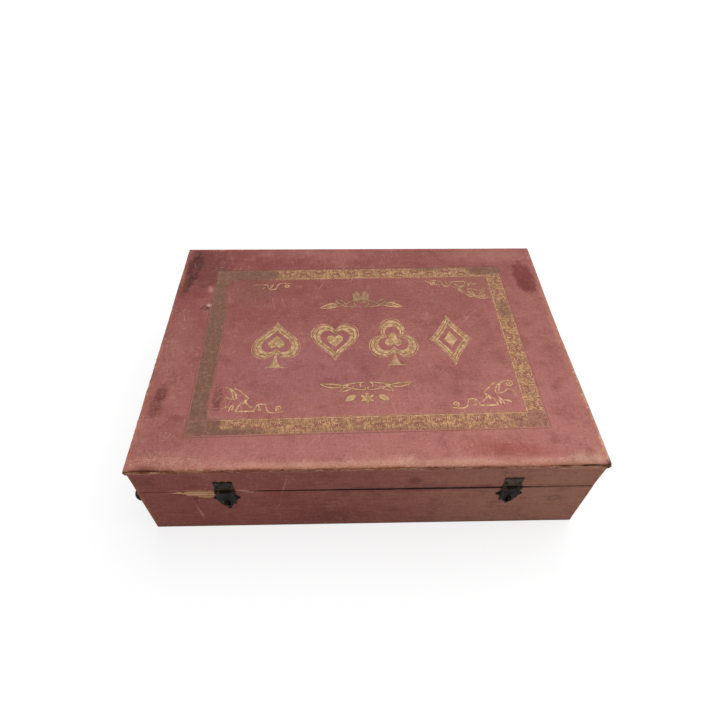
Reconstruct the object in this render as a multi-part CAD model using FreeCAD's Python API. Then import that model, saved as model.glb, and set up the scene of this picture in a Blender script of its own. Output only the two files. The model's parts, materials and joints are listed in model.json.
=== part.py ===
import FreeCAD, Part

import math
import os

from FreeCAD import Placement, Rotation, Vector

# A flat games box: a wooden case covered in cloth, with a lid hinged along the back, two hasp
# clasps in front and fixed dividers inside. Millimetres. +Z is up, the front faces -Y, and the
# origin is the middle of the underside.

# Case, outside its cloth
WIDTH = 398.0
DEPTH = 295.0
BASE_HEIGHT = 66.2
SEAM = 0.8                    # gap between the two rims
LID_HEIGHT = 37.5
LID_OVERHANG = 1.0            # lid board past the front and side walls, flush at the back
CORNER_RADIUS = 1.4           # upright corners of the case
LID_EDGE_RADIUS = 1.8         # upper edges and corners of the lid board

# Boards, cloth and paper
WALL = 9.0
BOTTOM = 6.0
LID_BOARD = 5.2
CLOTH = 0.6
PAPER = 0.4
TURN_IN = 7.0                 # cloth folded over a rim and along the inside of the wall

# Dividers inside the base
DIVIDER = 4.0
DIVIDER_HEIGHT = 44.0
LONG_DIVIDER_Y = 22.0
FRONT_DIVIDER_SPACING = 94.0
BACK_DIVIDER_SPACING = 126.0

# Panel pins through the boards
PANEL_PIN_RADIUS = 0.7
PANEL_PIN_LENGTH = 25.0
PANEL_PIN_MARGIN = 10.0       # first and last pin of a corner from the ends of the joint
BASE_CORNER_PINS = 3
LID_CORNER_PINS = 2
LONG_WALL_PINS = 4
SIDE_WALL_PINS = 3
BOARD_PIN_MARGIN = 14.0       # pins of the bottom and the lid board from the nearest corner pin

# Butt hinges, let into the rims of the two back walls
HINGE_FROM_SIDE = 79.0        # middle of each hinge from the nearest side
HINGE_LENGTH = 50.0
HINGE_KNUCKLES = 5
LEAF = 0.9
LEAF_DEPTH = 8.0              # from the back face into the wall
BARREL_RADIUS = 2.0
HINGE_PIN_RADIUS = 1.0
HINGE_OUT = 0.8               # axis behind the back face
SCREW_HEAD_RADIUS = 1.7
SCREW_RADIUS = 0.9
SCREW_LENGTH = 8.0
SCREW_SPACING = 18.0
SCREWS_PER_LEAF = 3

# Clearances
RUNNING = 0.06                # radial, round a hinge pin
KNUCKLE_GAP = 0.3             # beside and round a knuckle
HASP_PLAY = 0.4               # between a hasp and its keeper plate

# Clasps. Distances up and down are from the hasp's axis.
CLASP_FROM_SIDE = 74.0        # middle of each clasp from the nearest side, before the shift
CLASP_SHIFT = 1.6             # both clasps sit this far right of their even places
CLASP_SHEET = 1.0
HASP_RISE = 1.2               # axis above the rim of the lid
HASP_BARREL = 1.5
HASP_PIN_RADIUS = 0.6
HASP_KNUCKLE = 8.0
PLATE_WIDTH = 17.2
PLATE_HEIGHT = 14.0
PLATE_LOBE = 3.1              # half the width of the middle lobe on the top edge
PLATE_LOBE_RISE = 1.2
PLATE_LOBE_BOW = 0.4          # outward curve of each half of the middle lobe
PLATE_NAIL_X = 5.9
PLATE_NAIL_UP = 7.6
HASP_WIDTH = 17.0
HASP_SHOULDER = 17.8          # widest, below its straight part
HASP_SHOULDER_DOWN = 12.0
HASP_LENGTH = 29.8
HASP_BOW = 1.3                # outward curve of the tapering sides
FINIAL_RADIUS = 2.1
FINIAL_NECK = 2.6
SLOT_WIDTH = 4.4
SLOT_TOP_DOWN = 12.3
SLOT_BOTTOM_DOWN = 22.6
SLOT_BOW = 0.55               # outward curve of the slot's pointed top

# Keeper plates and staples on the base
KEEPER_SHEET = 0.8
KEEPER_WIDTH = 14.8
KEEPER_TOP_DOWN = 5.0
EAR_WIDTH = 24.4
EAR_DOWN = 12.2
EAR_BOTTOM_DOWN = 19.4
EAR_BOW = 0.5
KEEPER_BOTTOM_DOWN = 24.0
KEEPER_NAIL_X = 10.0
STAPLE_WIRE = 0.8             # radius
STAPLE_SPAN = 5.4
STAPLE_DOWN = 18.2
STAPLE_REACH = 5.2            # in front of the case
STAPLE_DEPTH = 5.5            # into the case

# Nails with domed heads
NAIL_HEAD_RADIUS = 1.15
NAIL_HEAD_HEIGHT = 0.6
NAIL_RADIUS = 0.5
NAIL_LENGTH = 6.5

# Large domed nail in the left front corner joint
STUD_RADIUS = 6.5
STUD_HEIGHT = 5.5
STUD_STAND = 1.0              # head clear of the cloth
STUD_SHANK_RADIUS = 1.2
STUD_LENGTH = 24.0
STUD_BELOW_RIM = 12.2

# Heights and faces that follow from the sizes
front = -DEPTH / 2
back = DEPTH / 2
side = WIDTH / 2
wood_front = front + CLOTH
wood_back = back - CLOTH
wood_side = side - CLOTH
inner_front = wood_front + WALL
inner_back = wood_back - WALL
inner_side = wood_side - WALL
floor_top = PAPER + BOTTOM
base_wood_top = BASE_HEIGHT - CLOTH
lid_rim = BASE_HEIGHT + SEAM
lid_wood_rim = lid_rim + CLOTH
lid_top = lid_rim + LID_HEIGHT
board_top = lid_top - CLOTH
board_under = board_top - LID_BOARD
hinge_x = side - HINGE_FROM_SIDE
clasp_x = side - CLASP_FROM_SIDE
hinge_axis_z = BASE_HEIGHT + SEAM / 2
hinge_axis_y = back + HINGE_OUT
hasp_axis_z = lid_rim + HASP_RISE
hasp_axis_out = HASP_BARREL + KNUCKLE_GAP
knuckle_clear = HASP_BARREL + KNUCKLE_GAP
hasp_back_out = KEEPER_SHEET + HASP_PLAY

nodes = {}


def block(x, y, z):
    # A box between two limits on each axis.
    corner = Vector(x[0], y[0], z[0])
    return Part.makeBox(x[1] - x[0], y[1] - y[0], z[1] - z[0], corner)


def softened(shape, radius, edges):
    # Fillets, left out where the rounding is used up by what lies outside it.
    return shape.makeFillet(radius, edges) if radius > 0 else shape


def case_block(inset, z):
    # The outline of the case, drawn in by inset, with its upright corners rounded.
    x = side - inset
    y = back - inset
    case = block((-x, x), (-y, y), z)
    uprights = [edge for edge in case.Edges if abs(edge.tangentAt(edge.FirstParameter).z) > 0.5]
    return softened(case, CORNER_RADIUS - inset, uprights)


def inside_ring(thickness, z):
    # A band of a thickness all round the inside of the walls.
    outer = block((-inner_side, inner_side), (inner_front, inner_back), z)
    inner = block((thickness - inner_side, inner_side - thickness),
                  (inner_front + thickness, inner_back - thickness), z)
    return outer.cut(inner)


def rod(start, end, radius):
    # A round bar from one point to another.
    return Part.makeCylinder(radius, (end - start).Length, start, end - start)


def revolved(corners):
    # A turned solid from corners (radius, height), with an arc where a corner has a third entry.
    edges = []
    previous = corners[-1]
    for corner in corners:
        start = Vector(previous[0], 0, previous[1])
        end = Vector(corner[0], 0, corner[1])
        if len(corner) == 3:
            edges.append(Part.Arc(start, corner[2], end).toShape())
        else:
            edges.append(Part.LineSegment(start, end).toShape())
        previous = corner
    face = Part.Face(Part.Wire(edges))
    return face.revolve(Vector(0, 0, 0), Vector(0, 0, 1), 360)


def domed_nail(head_radius, head_height, shank_radius, length, stand):
    # Head above z = stand, shank down to z = -length.
    sphere = (head_radius ** 2 + head_height ** 2) / (2 * head_height)
    half_turn = math.asin(head_radius / sphere) / 2
    centre = stand + head_height - sphere
    crown = Vector(sphere * math.sin(half_turn), 0, centre + sphere * math.cos(half_turn))
    return revolved([(0, -length), (shank_radius, -length), (shank_radius, stand),
                     (head_radius, stand), (0, stand + head_height, crown)])


def countersunk_screw():
    # Flat head in the plane z = 0, as deep as a hinge leaf, shank down to z = -SCREW_LENGTH.
    return revolved([(0, -SCREW_LENGTH), (SCREW_RADIUS, -SCREW_LENGTH), (SCREW_RADIUS, -LEAF),
                     (SCREW_HEAD_RADIUS, 0), (0, 0)])


def aimed(shape, point, direction):
    # The shape with its own +Z turned to a direction and its origin at a point.
    placed = shape.copy()
    placed.Placement = Placement(point, Rotation(Vector(0, 0, 1), direction))
    return placed


def spread(count, spacing):
    # Evenly spaced places about zero.
    return [(index - (count - 1) / 2) * spacing for index in range(count)]


def flat(x, z):
    return Vector(x, 0, z)


def bowed(start, end, rise):
    # The middle of an arc that leaves the line from start to end by rise, to the left of it.
    along = (end - start).normalize()
    return (start + end) * 0.5 + Vector(-along.z, 0, along.x) * rise


def mirrored_plate(corners, thickness):
    # A flat plate from its right-hand outline, clockwise between two points on the middle line.
    # Each corner after the first is (point,) for a straight edge or (via, point) for an arc.
    # The plate's back is in the plane y = 0, and it is thickness deep towards -Y.
    edges = []
    for sign in (1, -1):
        start = corners[0][-1]
        for corner in corners[1:]:
            ends = [Vector(sign * p.x, 0, p.z) for p in (start,) + corner]
            if len(ends) == 3:
                edges.append(Part.Arc(*ends).toShape())
            else:
                edges.append(Part.LineSegment(*ends).toShape())
            start = corner[-1]
    face = Part.Face(Part.Wire(Part.sortEdges(edges)[0]))
    return face.extrude(Vector(0, -thickness, 0))


def pierce(tool, *names):
    # The named nodes lose the space that a fastener or a hinge leaf takes.
    for name in names:
        nodes[name] = nodes[name].cut(tool)


# Walls, cloth and lining, which the base and the lid share

def walls(prefix, z):
    # Side walls run the full depth, and the front and back walls stand between them.
    nodes[prefix + "_front_wall"] = block((-inner_side, inner_side), (wood_front, inner_front), z)
    nodes[prefix + "_back_wall"] = block((-inner_side, inner_side), (inner_back, wood_back), z)
    outline = case_block(CLOTH, z)
    nodes[prefix + "_left_wall"] = outline.common(block((-side, -inner_side), (front, back), z))
    nodes[prefix + "_right_wall"] = outline.common(block((inner_side, side), (front, back), z))


def wall_cloth(far_edge, rim, into_wall):
    # Cloth round the outside from its far edge to the rim, over the rim and along the inside.
    # into_wall is -1 where the wall is below its rim and 1 where it is above.
    rim_wood = rim + into_wall * CLOTH
    fold_end = rim_wood + into_wall * TURN_IN
    wrap = case_block(0, sorted((far_edge, rim))).cut(case_block(CLOTH, sorted((far_edge, rim_wood))))
    wrap = wrap.cut(block((-inner_side, inner_side), (inner_front, inner_back), sorted((far_edge, rim))))
    return wrap.fuse(inside_ring(CLOTH, sorted((fold_end, rim)))).removeSplitter()


def wall_lining(floor, edge):
    # Paper on the inside of the walls and on the floor that they meet.
    into_box = math.copysign(PAPER, edge - floor)
    sides = inside_ring(PAPER, sorted((floor, edge)))
    sheet = block((-inner_side, inner_side), (inner_front, inner_back), sorted((floor, floor + into_box)))
    return sides.fuse(sheet).removeSplitter()


def corner_pins(prefix, low, high, count):
    # Pins through the side walls into the ends of the front and back walls.
    step = (high - low - 2 * PANEL_PIN_MARGIN) / (count - 1)
    pins = []
    for sign in (-1, 1):
        for y in (wood_front + WALL / 2, wood_back - WALL / 2):
            for index in range(count):
                start = Vector(sign * wood_side, y, low + PANEL_PIN_MARGIN + index * step)
                pins.append(rod(start, start - Vector(sign * PANEL_PIN_LENGTH, 0, 0), PANEL_PIN_RADIUS))
    nodes[prefix + "_corner_pins"] = Part.makeCompound(pins)
    for wall in ("front", "back", "left", "right"):
        pierce(nodes[prefix + "_corner_pins"], prefix + "_" + wall + "_wall")


def board_pins(name, board, prefix, start_z, into_wall):
    # Pins through the bottom or the lid board into the edges of the four walls.
    places = []
    long_run = 2 * (wood_side - PANEL_PIN_LENGTH - BOARD_PIN_MARGIN)
    side_run = 2 * (wood_back - WALL / 2 - BOARD_PIN_MARGIN)
    for y in (wood_front + WALL / 2, wood_back - WALL / 2):
        places += [(x, y) for x in spread(LONG_WALL_PINS, long_run / (LONG_WALL_PINS - 1))]
    for x in (-wood_side + WALL / 2, wood_side - WALL / 2):
        places += [(x, y) for y in spread(SIDE_WALL_PINS, side_run / (SIDE_WALL_PINS - 1))]
    pins = []
    for x, y in places:
        start = Vector(x, y, start_z)
        pins.append(rod(start, start + Vector(0, 0, into_wall * PANEL_PIN_LENGTH), PANEL_PIN_RADIUS))
    nodes[name] = Part.makeCompound(pins)
    pierce(nodes[name], board)
    for wall in ("front", "back", "left", "right"):
        pierce(nodes[name], prefix + "_" + wall + "_wall")


# The base

def base_case():
    nodes["bottom_paper"] = case_block(0, (0, PAPER))
    nodes["bottom_board"] = case_block(CLOTH, (PAPER, floor_top))
    walls("base", (floor_top, base_wood_top))
    nodes["base_cloth"] = wall_cloth(PAPER, BASE_HEIGHT, -1)
    nodes["base_lining"] = wall_lining(floor_top, base_wood_top - TURN_IN)
    corner_pins("base", floor_top, base_wood_top, BASE_CORNER_PINS)
    board_pins("bottom_pins", "bottom_board", "base", PAPER, 1)


def dividers():
    # One long divider, with short ones between it and the front and back walls.
    low = floor_top + PAPER
    height = (low, low + DIVIDER_HEIGHT)
    wall_x = inner_side - PAPER
    long_front = LONG_DIVIDER_Y - DIVIDER / 2
    long_back = LONG_DIVIDER_Y + DIVIDER / 2
    nodes["long_divider"] = block((-wall_x, wall_x), (long_front, long_back), height)
    rows = {"front": (("left", "middle", "right"), FRONT_DIVIDER_SPACING, (inner_front + PAPER, long_front)),
            "back": (("left", "right"), BACK_DIVIDER_SPACING, (long_back, inner_back - PAPER))}
    for row, (names, spacing, depth) in rows.items():
        for name, x in zip(names, spread(len(names), spacing)):
            thickness = (x - DIVIDER / 2, x + DIVIDER / 2)
            nodes[row + "_" + name + "_divider"] = block(thickness, depth, height)


def corner_stud():
    stud = domed_nail(STUD_RADIUS, STUD_HEIGHT, STUD_SHANK_RADIUS, STUD_LENGTH, STUD_STAND)
    place = Vector(-side, front + STUD_RADIUS, BASE_HEIGHT - STUD_BELOW_RIM)
    nodes["corner_stud"] = aimed(stud, place, Vector(-1, 0, 0))
    pierce(nodes["corner_stud"], "base_cloth", "base_left_wall", "base_front_wall")


# The lid

def lid_slab(inset):
    # The lid board's outline, drawn in by inset, with its upper edges and corners rounded.
    x = side + LID_OVERHANG - inset
    y = (front - LID_OVERHANG + inset, back - inset)
    slab = block((-x, x), y, (board_under, lid_top - inset))
    upper = [edge for edge in slab.Edges if edge.BoundBox.ZMax > board_under + LID_BOARD / 2]
    return softened(slab, LID_EDGE_RADIUS - inset, upper)


def lid_case():
    # The lid board overhangs the front and the sides, and its cloth covers its top and edges.
    walls("lid", (lid_wood_rim, board_under))
    nodes["lid_board"] = lid_slab(CLOTH)
    nodes["lid_top_cloth"] = lid_slab(0).cut(nodes["lid_board"])
    nodes["lid_side_cloth"] = wall_cloth(board_under, lid_rim, 1)
    nodes["lid_lining"] = wall_lining(board_under, lid_wood_rim + TURN_IN)
    corner_pins("lid", lid_wood_rim, board_under, LID_CORNER_PINS)
    board_pins("lid_board_pins", "lid_board", "lid", board_top, -1)


# Hinges

def hinge_leaf(x, rim, into_wall, own_first, bore):
    # A leaf flush with a rim, with every second knuckle round the axis.
    half = HINGE_LENGTH / 2
    pitch = HINGE_LENGTH / HINGE_KNUCKLES
    z = sorted((rim, rim + into_wall * LEAF))
    clear_y = hinge_axis_y - BARREL_RADIUS - KNUCKLE_GAP
    leaf = block((x - half, x + half), (back - LEAF_DEPTH, clear_y), z)
    axis = Vector(x - half, hinge_axis_y, hinge_axis_z)
    for index in range(own_first, HINGE_KNUCKLES, 2):
        start = index * pitch + KNUCKLE_GAP / 2
        length = pitch - KNUCKLE_GAP
        left = x - half + start
        tab = block((left, left + length), (clear_y, hinge_axis_y), z)
        barrel = Part.makeCylinder(BARREL_RADIUS, length, axis + Vector(start, 0, 0), Vector(1, 0, 0))
        leaf = leaf.fuse(tab).fuse(barrel)
    hole = Part.makeCylinder(bore, HINGE_LENGTH, axis, Vector(1, 0, 0))
    return leaf.cut(hole).removeSplitter()


def hinges():
    # Leaves, pins and screws, and the housings that they need in the two back rims.
    screw = countersunk_screw()
    screw_y = (back - LEAF_DEPTH + hinge_axis_y - BARREL_RADIUS) / 2
    screws = {"base": [], "lid": []}
    for name, x in (("left", -hinge_x), ("right", hinge_x)):
        half = HINGE_LENGTH / 2
        start = Vector(x - half, hinge_axis_y, hinge_axis_z)
        nodes[name + "_hinge_pin"] = rod(start, start + Vector(HINGE_LENGTH, 0, 0), HINGE_PIN_RADIUS)
        reach = Vector(half + KNUCKLE_GAP, 0, 0)
        middle = Vector(x, hinge_axis_y, hinge_axis_z)
        barrel_room = rod(middle - reach, middle + reach, BARREL_RADIUS + KNUCKLE_GAP)
        for part, rim, into_wall, own_first, bore in (
                ("base", BASE_HEIGHT, -1, 0, HINGE_PIN_RADIUS),
                ("lid", lid_rim, 1, 1, HINGE_PIN_RADIUS + RUNNING)):
            node = name + "_hinge_" + part + "_leaf"
            leaf = hinge_leaf(x, rim, into_wall, own_first, bore)
            leaf_z = sorted((rim, rim + into_wall * LEAF))
            leaf_room = block((x - half, x + half), (back - LEAF_DEPTH, back), leaf_z)
            cloth = "base_cloth" if part == "base" else "lid_side_cloth"
            pierce(leaf_room.fuse(barrel_room), part + "_back_wall", cloth)
            nodes[node] = leaf
            for step in spread(SCREWS_PER_LEAF, SCREW_SPACING):
                driven = aimed(screw, Vector(x + step, screw_y, rim), Vector(0, 0, -into_wall))
                pierce(driven, node, part + "_back_wall")
                screws[part].append(driven)
    for part in screws:
        nodes["hinge_" + part + "_screws"] = Part.makeCompound(screws[part])


# Clasps

def hasp_barrel(start, length):
    axis = Vector(start, -hasp_axis_out, 0)
    return Part.makeCylinder(HASP_BARREL, length, axis, Vector(1, 0, 0))


def hasp_bore(radius):
    axis = Vector(-PLATE_WIDTH / 2, -hasp_axis_out, 0)
    return Part.makeCylinder(radius, PLATE_WIDTH, axis, Vector(1, 0, 0))


def clasp_plate():
    # Plate on the lid with a lobed top edge, and a knuckle at each side for the hasp's pin.
    half = PLATE_WIDTH / 2
    inner = HASP_KNUCKLE / 2 + KNUCKLE_GAP
    crown = flat(0, PLATE_HEIGHT + PLATE_LOBE_RISE)
    dip = flat(PLATE_LOBE, PLATE_HEIGHT)
    corner = flat(half, PLATE_HEIGHT)
    plate = mirrored_plate([(crown,), (bowed(crown, dip, PLATE_LOBE_BOW), dip),
                            (bowed(dip, corner, PLATE_LOBE_RISE), corner),
                            (flat(half, 0),), (flat(inner, 0),),
                            (flat(inner, knuckle_clear),), (flat(0, knuckle_clear),)], CLASP_SHEET)
    plate = plate.fuse(hasp_barrel(inner, half - inner)).fuse(hasp_barrel(-half, half - inner))
    return plate.cut(hasp_bore(HASP_PIN_RADIUS)).removeSplitter()


def hasp_slot():
    # The space that the slot takes out of the flap, pointed at the top and round at the bottom.
    half = SLOT_WIDTH / 2
    point = flat(0, -SLOT_TOP_DOWN)
    upper = flat(half, -SLOT_TOP_DOWN - SLOT_WIDTH)
    lower = flat(half, half - SLOT_BOTTOM_DOWN)
    end = flat(0, -SLOT_BOTTOM_DOWN)
    quarter_rise = half * (1 - math.sqrt(0.5))
    return mirrored_plate([(point,), (bowed(point, upper, SLOT_BOW), upper), (lower,),
                           (bowed(lower, end, quarter_rise), end)], hasp_back_out + 2 * CLASP_SHEET)


def hasp():
    # Shield-shaped flap with a slot for the staple and a round finial at its tip.
    knuckle = HASP_KNUCKLE / 2
    neck = FINIAL_NECK / 2
    finial_centre = FINIAL_RADIUS - HASP_LENGTH
    shoulder = flat(HASP_SHOULDER / 2, -HASP_SHOULDER_DOWN)
    waist = flat(neck, finial_centre + math.sqrt(FINIAL_RADIUS ** 2 - neck ** 2))
    flap = mirrored_plate([(flat(0, 0),), (flat(knuckle, 0),), (flat(knuckle, -knuckle_clear),),
                           (flat(HASP_WIDTH / 2, -knuckle_clear),), (shoulder,),
                           (bowed(shoulder, waist, HASP_BOW), waist),
                           (flat(FINIAL_RADIUS, finial_centre), flat(0, -HASP_LENGTH))], CLASP_SHEET)
    flap.translate(Vector(0, -hasp_back_out, 0))
    flap = flap.cut(hasp_slot()).fuse(hasp_barrel(-knuckle, HASP_KNUCKLE))
    return flap.cut(hasp_bore(HASP_PIN_RADIUS + RUNNING)).removeSplitter()


def keeper_plate():
    # Plate on the base behind the hasp, with a pointed ear at each side.
    top = flat(KEEPER_WIDTH / 2, -KEEPER_TOP_DOWN)
    ear = flat(EAR_WIDTH / 2, -EAR_DOWN)
    low = flat(KEEPER_WIDTH / 2, -EAR_BOTTOM_DOWN)
    return mirrored_plate([(flat(0, -KEEPER_TOP_DOWN),), (top,), (bowed(top, ear, EAR_BOW), ear),
                           (bowed(ear, low, EAR_BOW), low), (flat(0, -KEEPER_BOTTOM_DOWN),)], KEEPER_SHEET)


def keeper_staple():
    # A bent wire with both legs in the case, standing out through the hasp's slot.
    bend = STAPLE_SPAN / 2
    straight = STAPLE_REACH - STAPLE_WIRE - bend
    upper = [Vector(0, STAPLE_DEPTH, bend), Vector(0, -straight, bend)]
    lower = [Vector(0, -straight, -bend), Vector(0, STAPLE_DEPTH, -bend)]
    bow = Part.Arc(upper[1], Vector(0, -straight - bend, 0), lower[0])
    runs = [Part.LineSegment(*upper), bow, Part.LineSegment(*lower)]
    path = Part.Wire([run.toShape() for run in runs])
    section = Part.Wire(Part.makeCircle(STAPLE_WIRE, upper[0], Vector(0, 1, 0)))
    staple = path.makePipeShell([section], True, True)
    staple.translate(Vector(0, 0, -STAPLE_DOWN))
    return staple


def clasps():
    nail = domed_nail(NAIL_HEAD_RADIUS, NAIL_HEAD_HEIGHT, NAIL_RADIUS, NAIL_LENGTH, 0)
    outward = Vector(0, -1, 0)
    plate_nails = []
    keeper_nails = []
    for name, x in (("left", CLASP_SHIFT - clasp_x), ("right", CLASP_SHIFT + clasp_x)):
        place = Vector(x, front, hasp_axis_z)
        pin_start = place + Vector(-PLATE_WIDTH / 2, -hasp_axis_out, 0)
        nodes[name + "_clasp_pin"] = rod(pin_start, pin_start + Vector(PLATE_WIDTH, 0, 0), HASP_PIN_RADIUS)
        for node, shape in (("_clasp_plate", clasp_plate()), ("_hasp", hasp()),
                            ("_keeper_plate", keeper_plate()), ("_keeper_staple", keeper_staple())):
            nodes[name + node] = shape.translated(place)
        pierce(nodes[name + "_keeper_staple"], name + "_keeper_plate", "base_cloth", "base_front_wall")
        for sign in (-1, 1):
            on_plate = place + Vector(sign * PLATE_NAIL_X, -CLASP_SHEET, PLATE_NAIL_UP)
            on_keeper = place + Vector(sign * KEEPER_NAIL_X, -KEEPER_SHEET, -EAR_DOWN)
            plate_nails.append(aimed(nail, on_plate, outward))
            keeper_nails.append(aimed(nail, on_keeper, outward))
            pierce(plate_nails[-1], name + "_clasp_plate", "lid_side_cloth", "lid_front_wall")
            pierce(keeper_nails[-1], name + "_keeper_plate", "base_cloth", "base_front_wall")
    nodes["clasp_plate_nails"] = Part.makeCompound(plate_nails)
    nodes["keeper_nails"] = Part.makeCompound(keeper_nails)


base_case()
dividers()
corner_stud()
lid_case()
hinges()
clasps()

os.makedirs("parts", exist_ok=True)
for name, shape in nodes.items():
    solids = shape.Solids
    whole = solids[0] if len(solids) == 1 else Part.makeCompound(solids)
    whole.exportStep("parts/" + name + ".step")
print(len(nodes), "sub-parts written")
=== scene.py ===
import itertools
import json
import math
import bmesh
import bpy
import numpy as np
from mathutils import Matrix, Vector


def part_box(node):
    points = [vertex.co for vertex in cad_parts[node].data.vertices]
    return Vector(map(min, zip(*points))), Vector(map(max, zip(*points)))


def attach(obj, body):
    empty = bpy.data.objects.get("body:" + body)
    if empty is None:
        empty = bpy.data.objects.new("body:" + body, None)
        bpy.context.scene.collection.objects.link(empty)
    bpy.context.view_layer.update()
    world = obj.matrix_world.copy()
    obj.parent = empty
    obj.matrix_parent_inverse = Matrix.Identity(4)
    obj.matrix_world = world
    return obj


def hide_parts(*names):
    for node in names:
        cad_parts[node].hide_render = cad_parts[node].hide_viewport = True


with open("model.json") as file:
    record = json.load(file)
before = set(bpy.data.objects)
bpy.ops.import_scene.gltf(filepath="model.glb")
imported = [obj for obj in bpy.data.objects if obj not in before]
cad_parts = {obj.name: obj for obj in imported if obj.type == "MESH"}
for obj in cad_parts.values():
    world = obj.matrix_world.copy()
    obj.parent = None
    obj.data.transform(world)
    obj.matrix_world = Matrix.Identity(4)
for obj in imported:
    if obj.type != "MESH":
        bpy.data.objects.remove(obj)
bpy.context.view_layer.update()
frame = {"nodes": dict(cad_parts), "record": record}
nodes = frame["nodes"]
mm = 0.001
print("frame loaded:", len(nodes), "nodes")


# a CAD node's limits on one axis, in millimetres
def limits(node, axis):
    low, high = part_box(node)
    return low[axis] / mm, high[axis] / mm


# the sizes that the new pieces share, read from the frame
sideX = limits("base_cloth", 0)[1]
frontY, backY = limits("base_cloth", 1)
baseLow, baseRim = limits("base_cloth", 2)
lidRim, lidHigh = limits("lid_side_cloth", 2)
lidSideX = limits("lid_top_cloth", 0)[1]
lidFrontY, lidBackY = limits("lid_top_cloth", 1)
lidTop = limits("lid_top_cloth", 2)[1]
lidMidY = (lidFrontY + lidBackY) / 2
hingeX = sum(limits("right_hinge_base_leaf", 0)) / 2
seamZ = (baseRim + lidRim) / 2
lipZ = lidHigh + 2.2  # where the lid's top cloth ends and its side cloth begins
lidHalf = (lidSideX, (lidBackY - lidFrontY) / 2, 20.0)
lidCentre = (0, lidMidY, lidTop - 20.0)


# sRGB hex to linear colour
def tint(code):
    parts = [int(code[i:i + 2], 16) / 255 for i in (1, 3, 5)]
    return tuple(p / 12.92 if p <= 0.04045 else ((p + 0.055) / 1.055) ** 2.4 for p in parts) + (1.0,)


# one node with its settings, and its inputs as fixed values or links
def addNode(tree, kind, inputs, out=0, **settings):
    made = tree.nodes.new("ShaderNode" + kind)
    for key, value in settings.items():
        setattr(made, key, value)
    for key, value in inputs.items():
        if isinstance(value, bpy.types.NodeSocket):
            tree.links.new(value, made.inputs[key])
        else:
            made.inputs[key].default_value = value
    return made.outputs[out]


# an empty node tree with a Principled shader, whose even values are set on its own sockets
def startMaterial(name, **even):
    material = bpy.data.materials.new(name)
    material.use_nodes = True
    tree = material.node_tree
    tree.nodes.clear()
    shader = tree.nodes.new("ShaderNodeBsdfPrincipled")
    output = tree.nodes.new("ShaderNodeOutputMaterial")
    tree.links.new(shader.outputs[0], output.inputs[0])
    for key, value in even.items():
        shader.inputs[key.replace("_", " ")].default_value = value
    place = addNode(tree, "TexCoord", {}, 3)
    return material, tree, shader, place


# the shader's links: its colour, and where given its roughness and a bump, whose depth is in millimetres
def wire(tree, shader, colour, rough=None, height=None, strength=0.3, depth=0.2):
    tree.links.new(colour, shader.inputs["Base Color"])
    if rough is not None:
        tree.links.new(rough, shader.inputs["Roughness"])
    if height is not None:
        bump = addNode(tree, "Bump", {"Height": height, "Strength": strength, "Distance": depth * mm})
        tree.links.new(bump, shader.inputs["Normal"])


# one sum on numbers or sockets
def calc(tree, operation, *values):
    return addNode(tree, "Math", dict(enumerate(values)), operation=operation)


# colour laid over colour where a mask says so
def lay(tree, mask, under, over):
    return addNode(tree, "Mix", {0: mask, 6: under, 7: over}, 2, data_type="RGBA")


# a value carried straight from the span between start and end to that between low and high
def respan(tree, value, low, high, start=0.0, end=1.0, clamp=True):
    return addNode(tree, "MapRange", {"Value": value, "From Min": start, "From Max": end, "To Min": low,
                                      "To Max": high}, clamp=clamp)


# a smooth step of a value, from 0 at low to 1 at high, times share
def step(tree, value, low, high, share=1.0):
    return addNode(tree, "MapRange", {"Value": value, "From Min": low, "From Max": high, "To Max": share},
                   interpolation_type="SMOOTHSTEP")


# a tone laid over a colour by such a step
def layTone(tree, colour, tone, value, low, high, share=1.0):
    return lay(tree, step(tree, value, low, high, share), colour, tint(tone))


# cloudy noise with a grain size in millimetres, one size or one for each axis, drawn along turned axes
def cloud(tree, place, size, detail=4.0, roughness=0.6, shift=0.0, turn=(0, 0, 0)):
    sizes = size if isinstance(size, tuple) else (size, size, size)
    moved = addNode(tree, "Mapping", {"Vector": place, "Location": (shift, shift * 0.7, shift * 1.3),
                                      "Rotation": tuple(math.radians(t) for t in turn),
                                      "Scale": tuple(s * mm for s in sizes)}, vector_type="TEXTURE")
    return addNode(tree, "TexNoise", {"Vector": moved, "Scale": 1.0, "Detail": detail,
                                      "Roughness": roughness})


# 1 in the middle of an ellipsoid and 0 outside it, with a ragged border; spot, at and size in millimetres.
# The ball gradient falls from 1 in the middle to 0 at reach times the size
def patch(tree, spot, ragged, at, size, turn=(0, 0, 0), soft=0.5, share=1.0, reach=1.8):
    inside = addNode(tree, "Mapping", {"Vector": spot, "Location": at,
                                       "Rotation": tuple(math.radians(t) for t in turn),
                                       "Scale": tuple(s * reach for s in size)}, vector_type="TEXTURE")
    ball = addNode(tree, "TexGradient", {"Vector": inside}, "Fac", gradient_type="SPHERICAL")
    uneven = calc(tree, "MULTIPLY_ADD", ball, -reach, ragged)
    return step(tree, uneven, 1.0 - reach, 1.0 - soft - reach, share)


# a place in millimetres
def inMillimetres(tree, place):
    return addNode(tree, "VectorMath", {0: place, 3: 1 / mm}, operation="SCALE")


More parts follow.
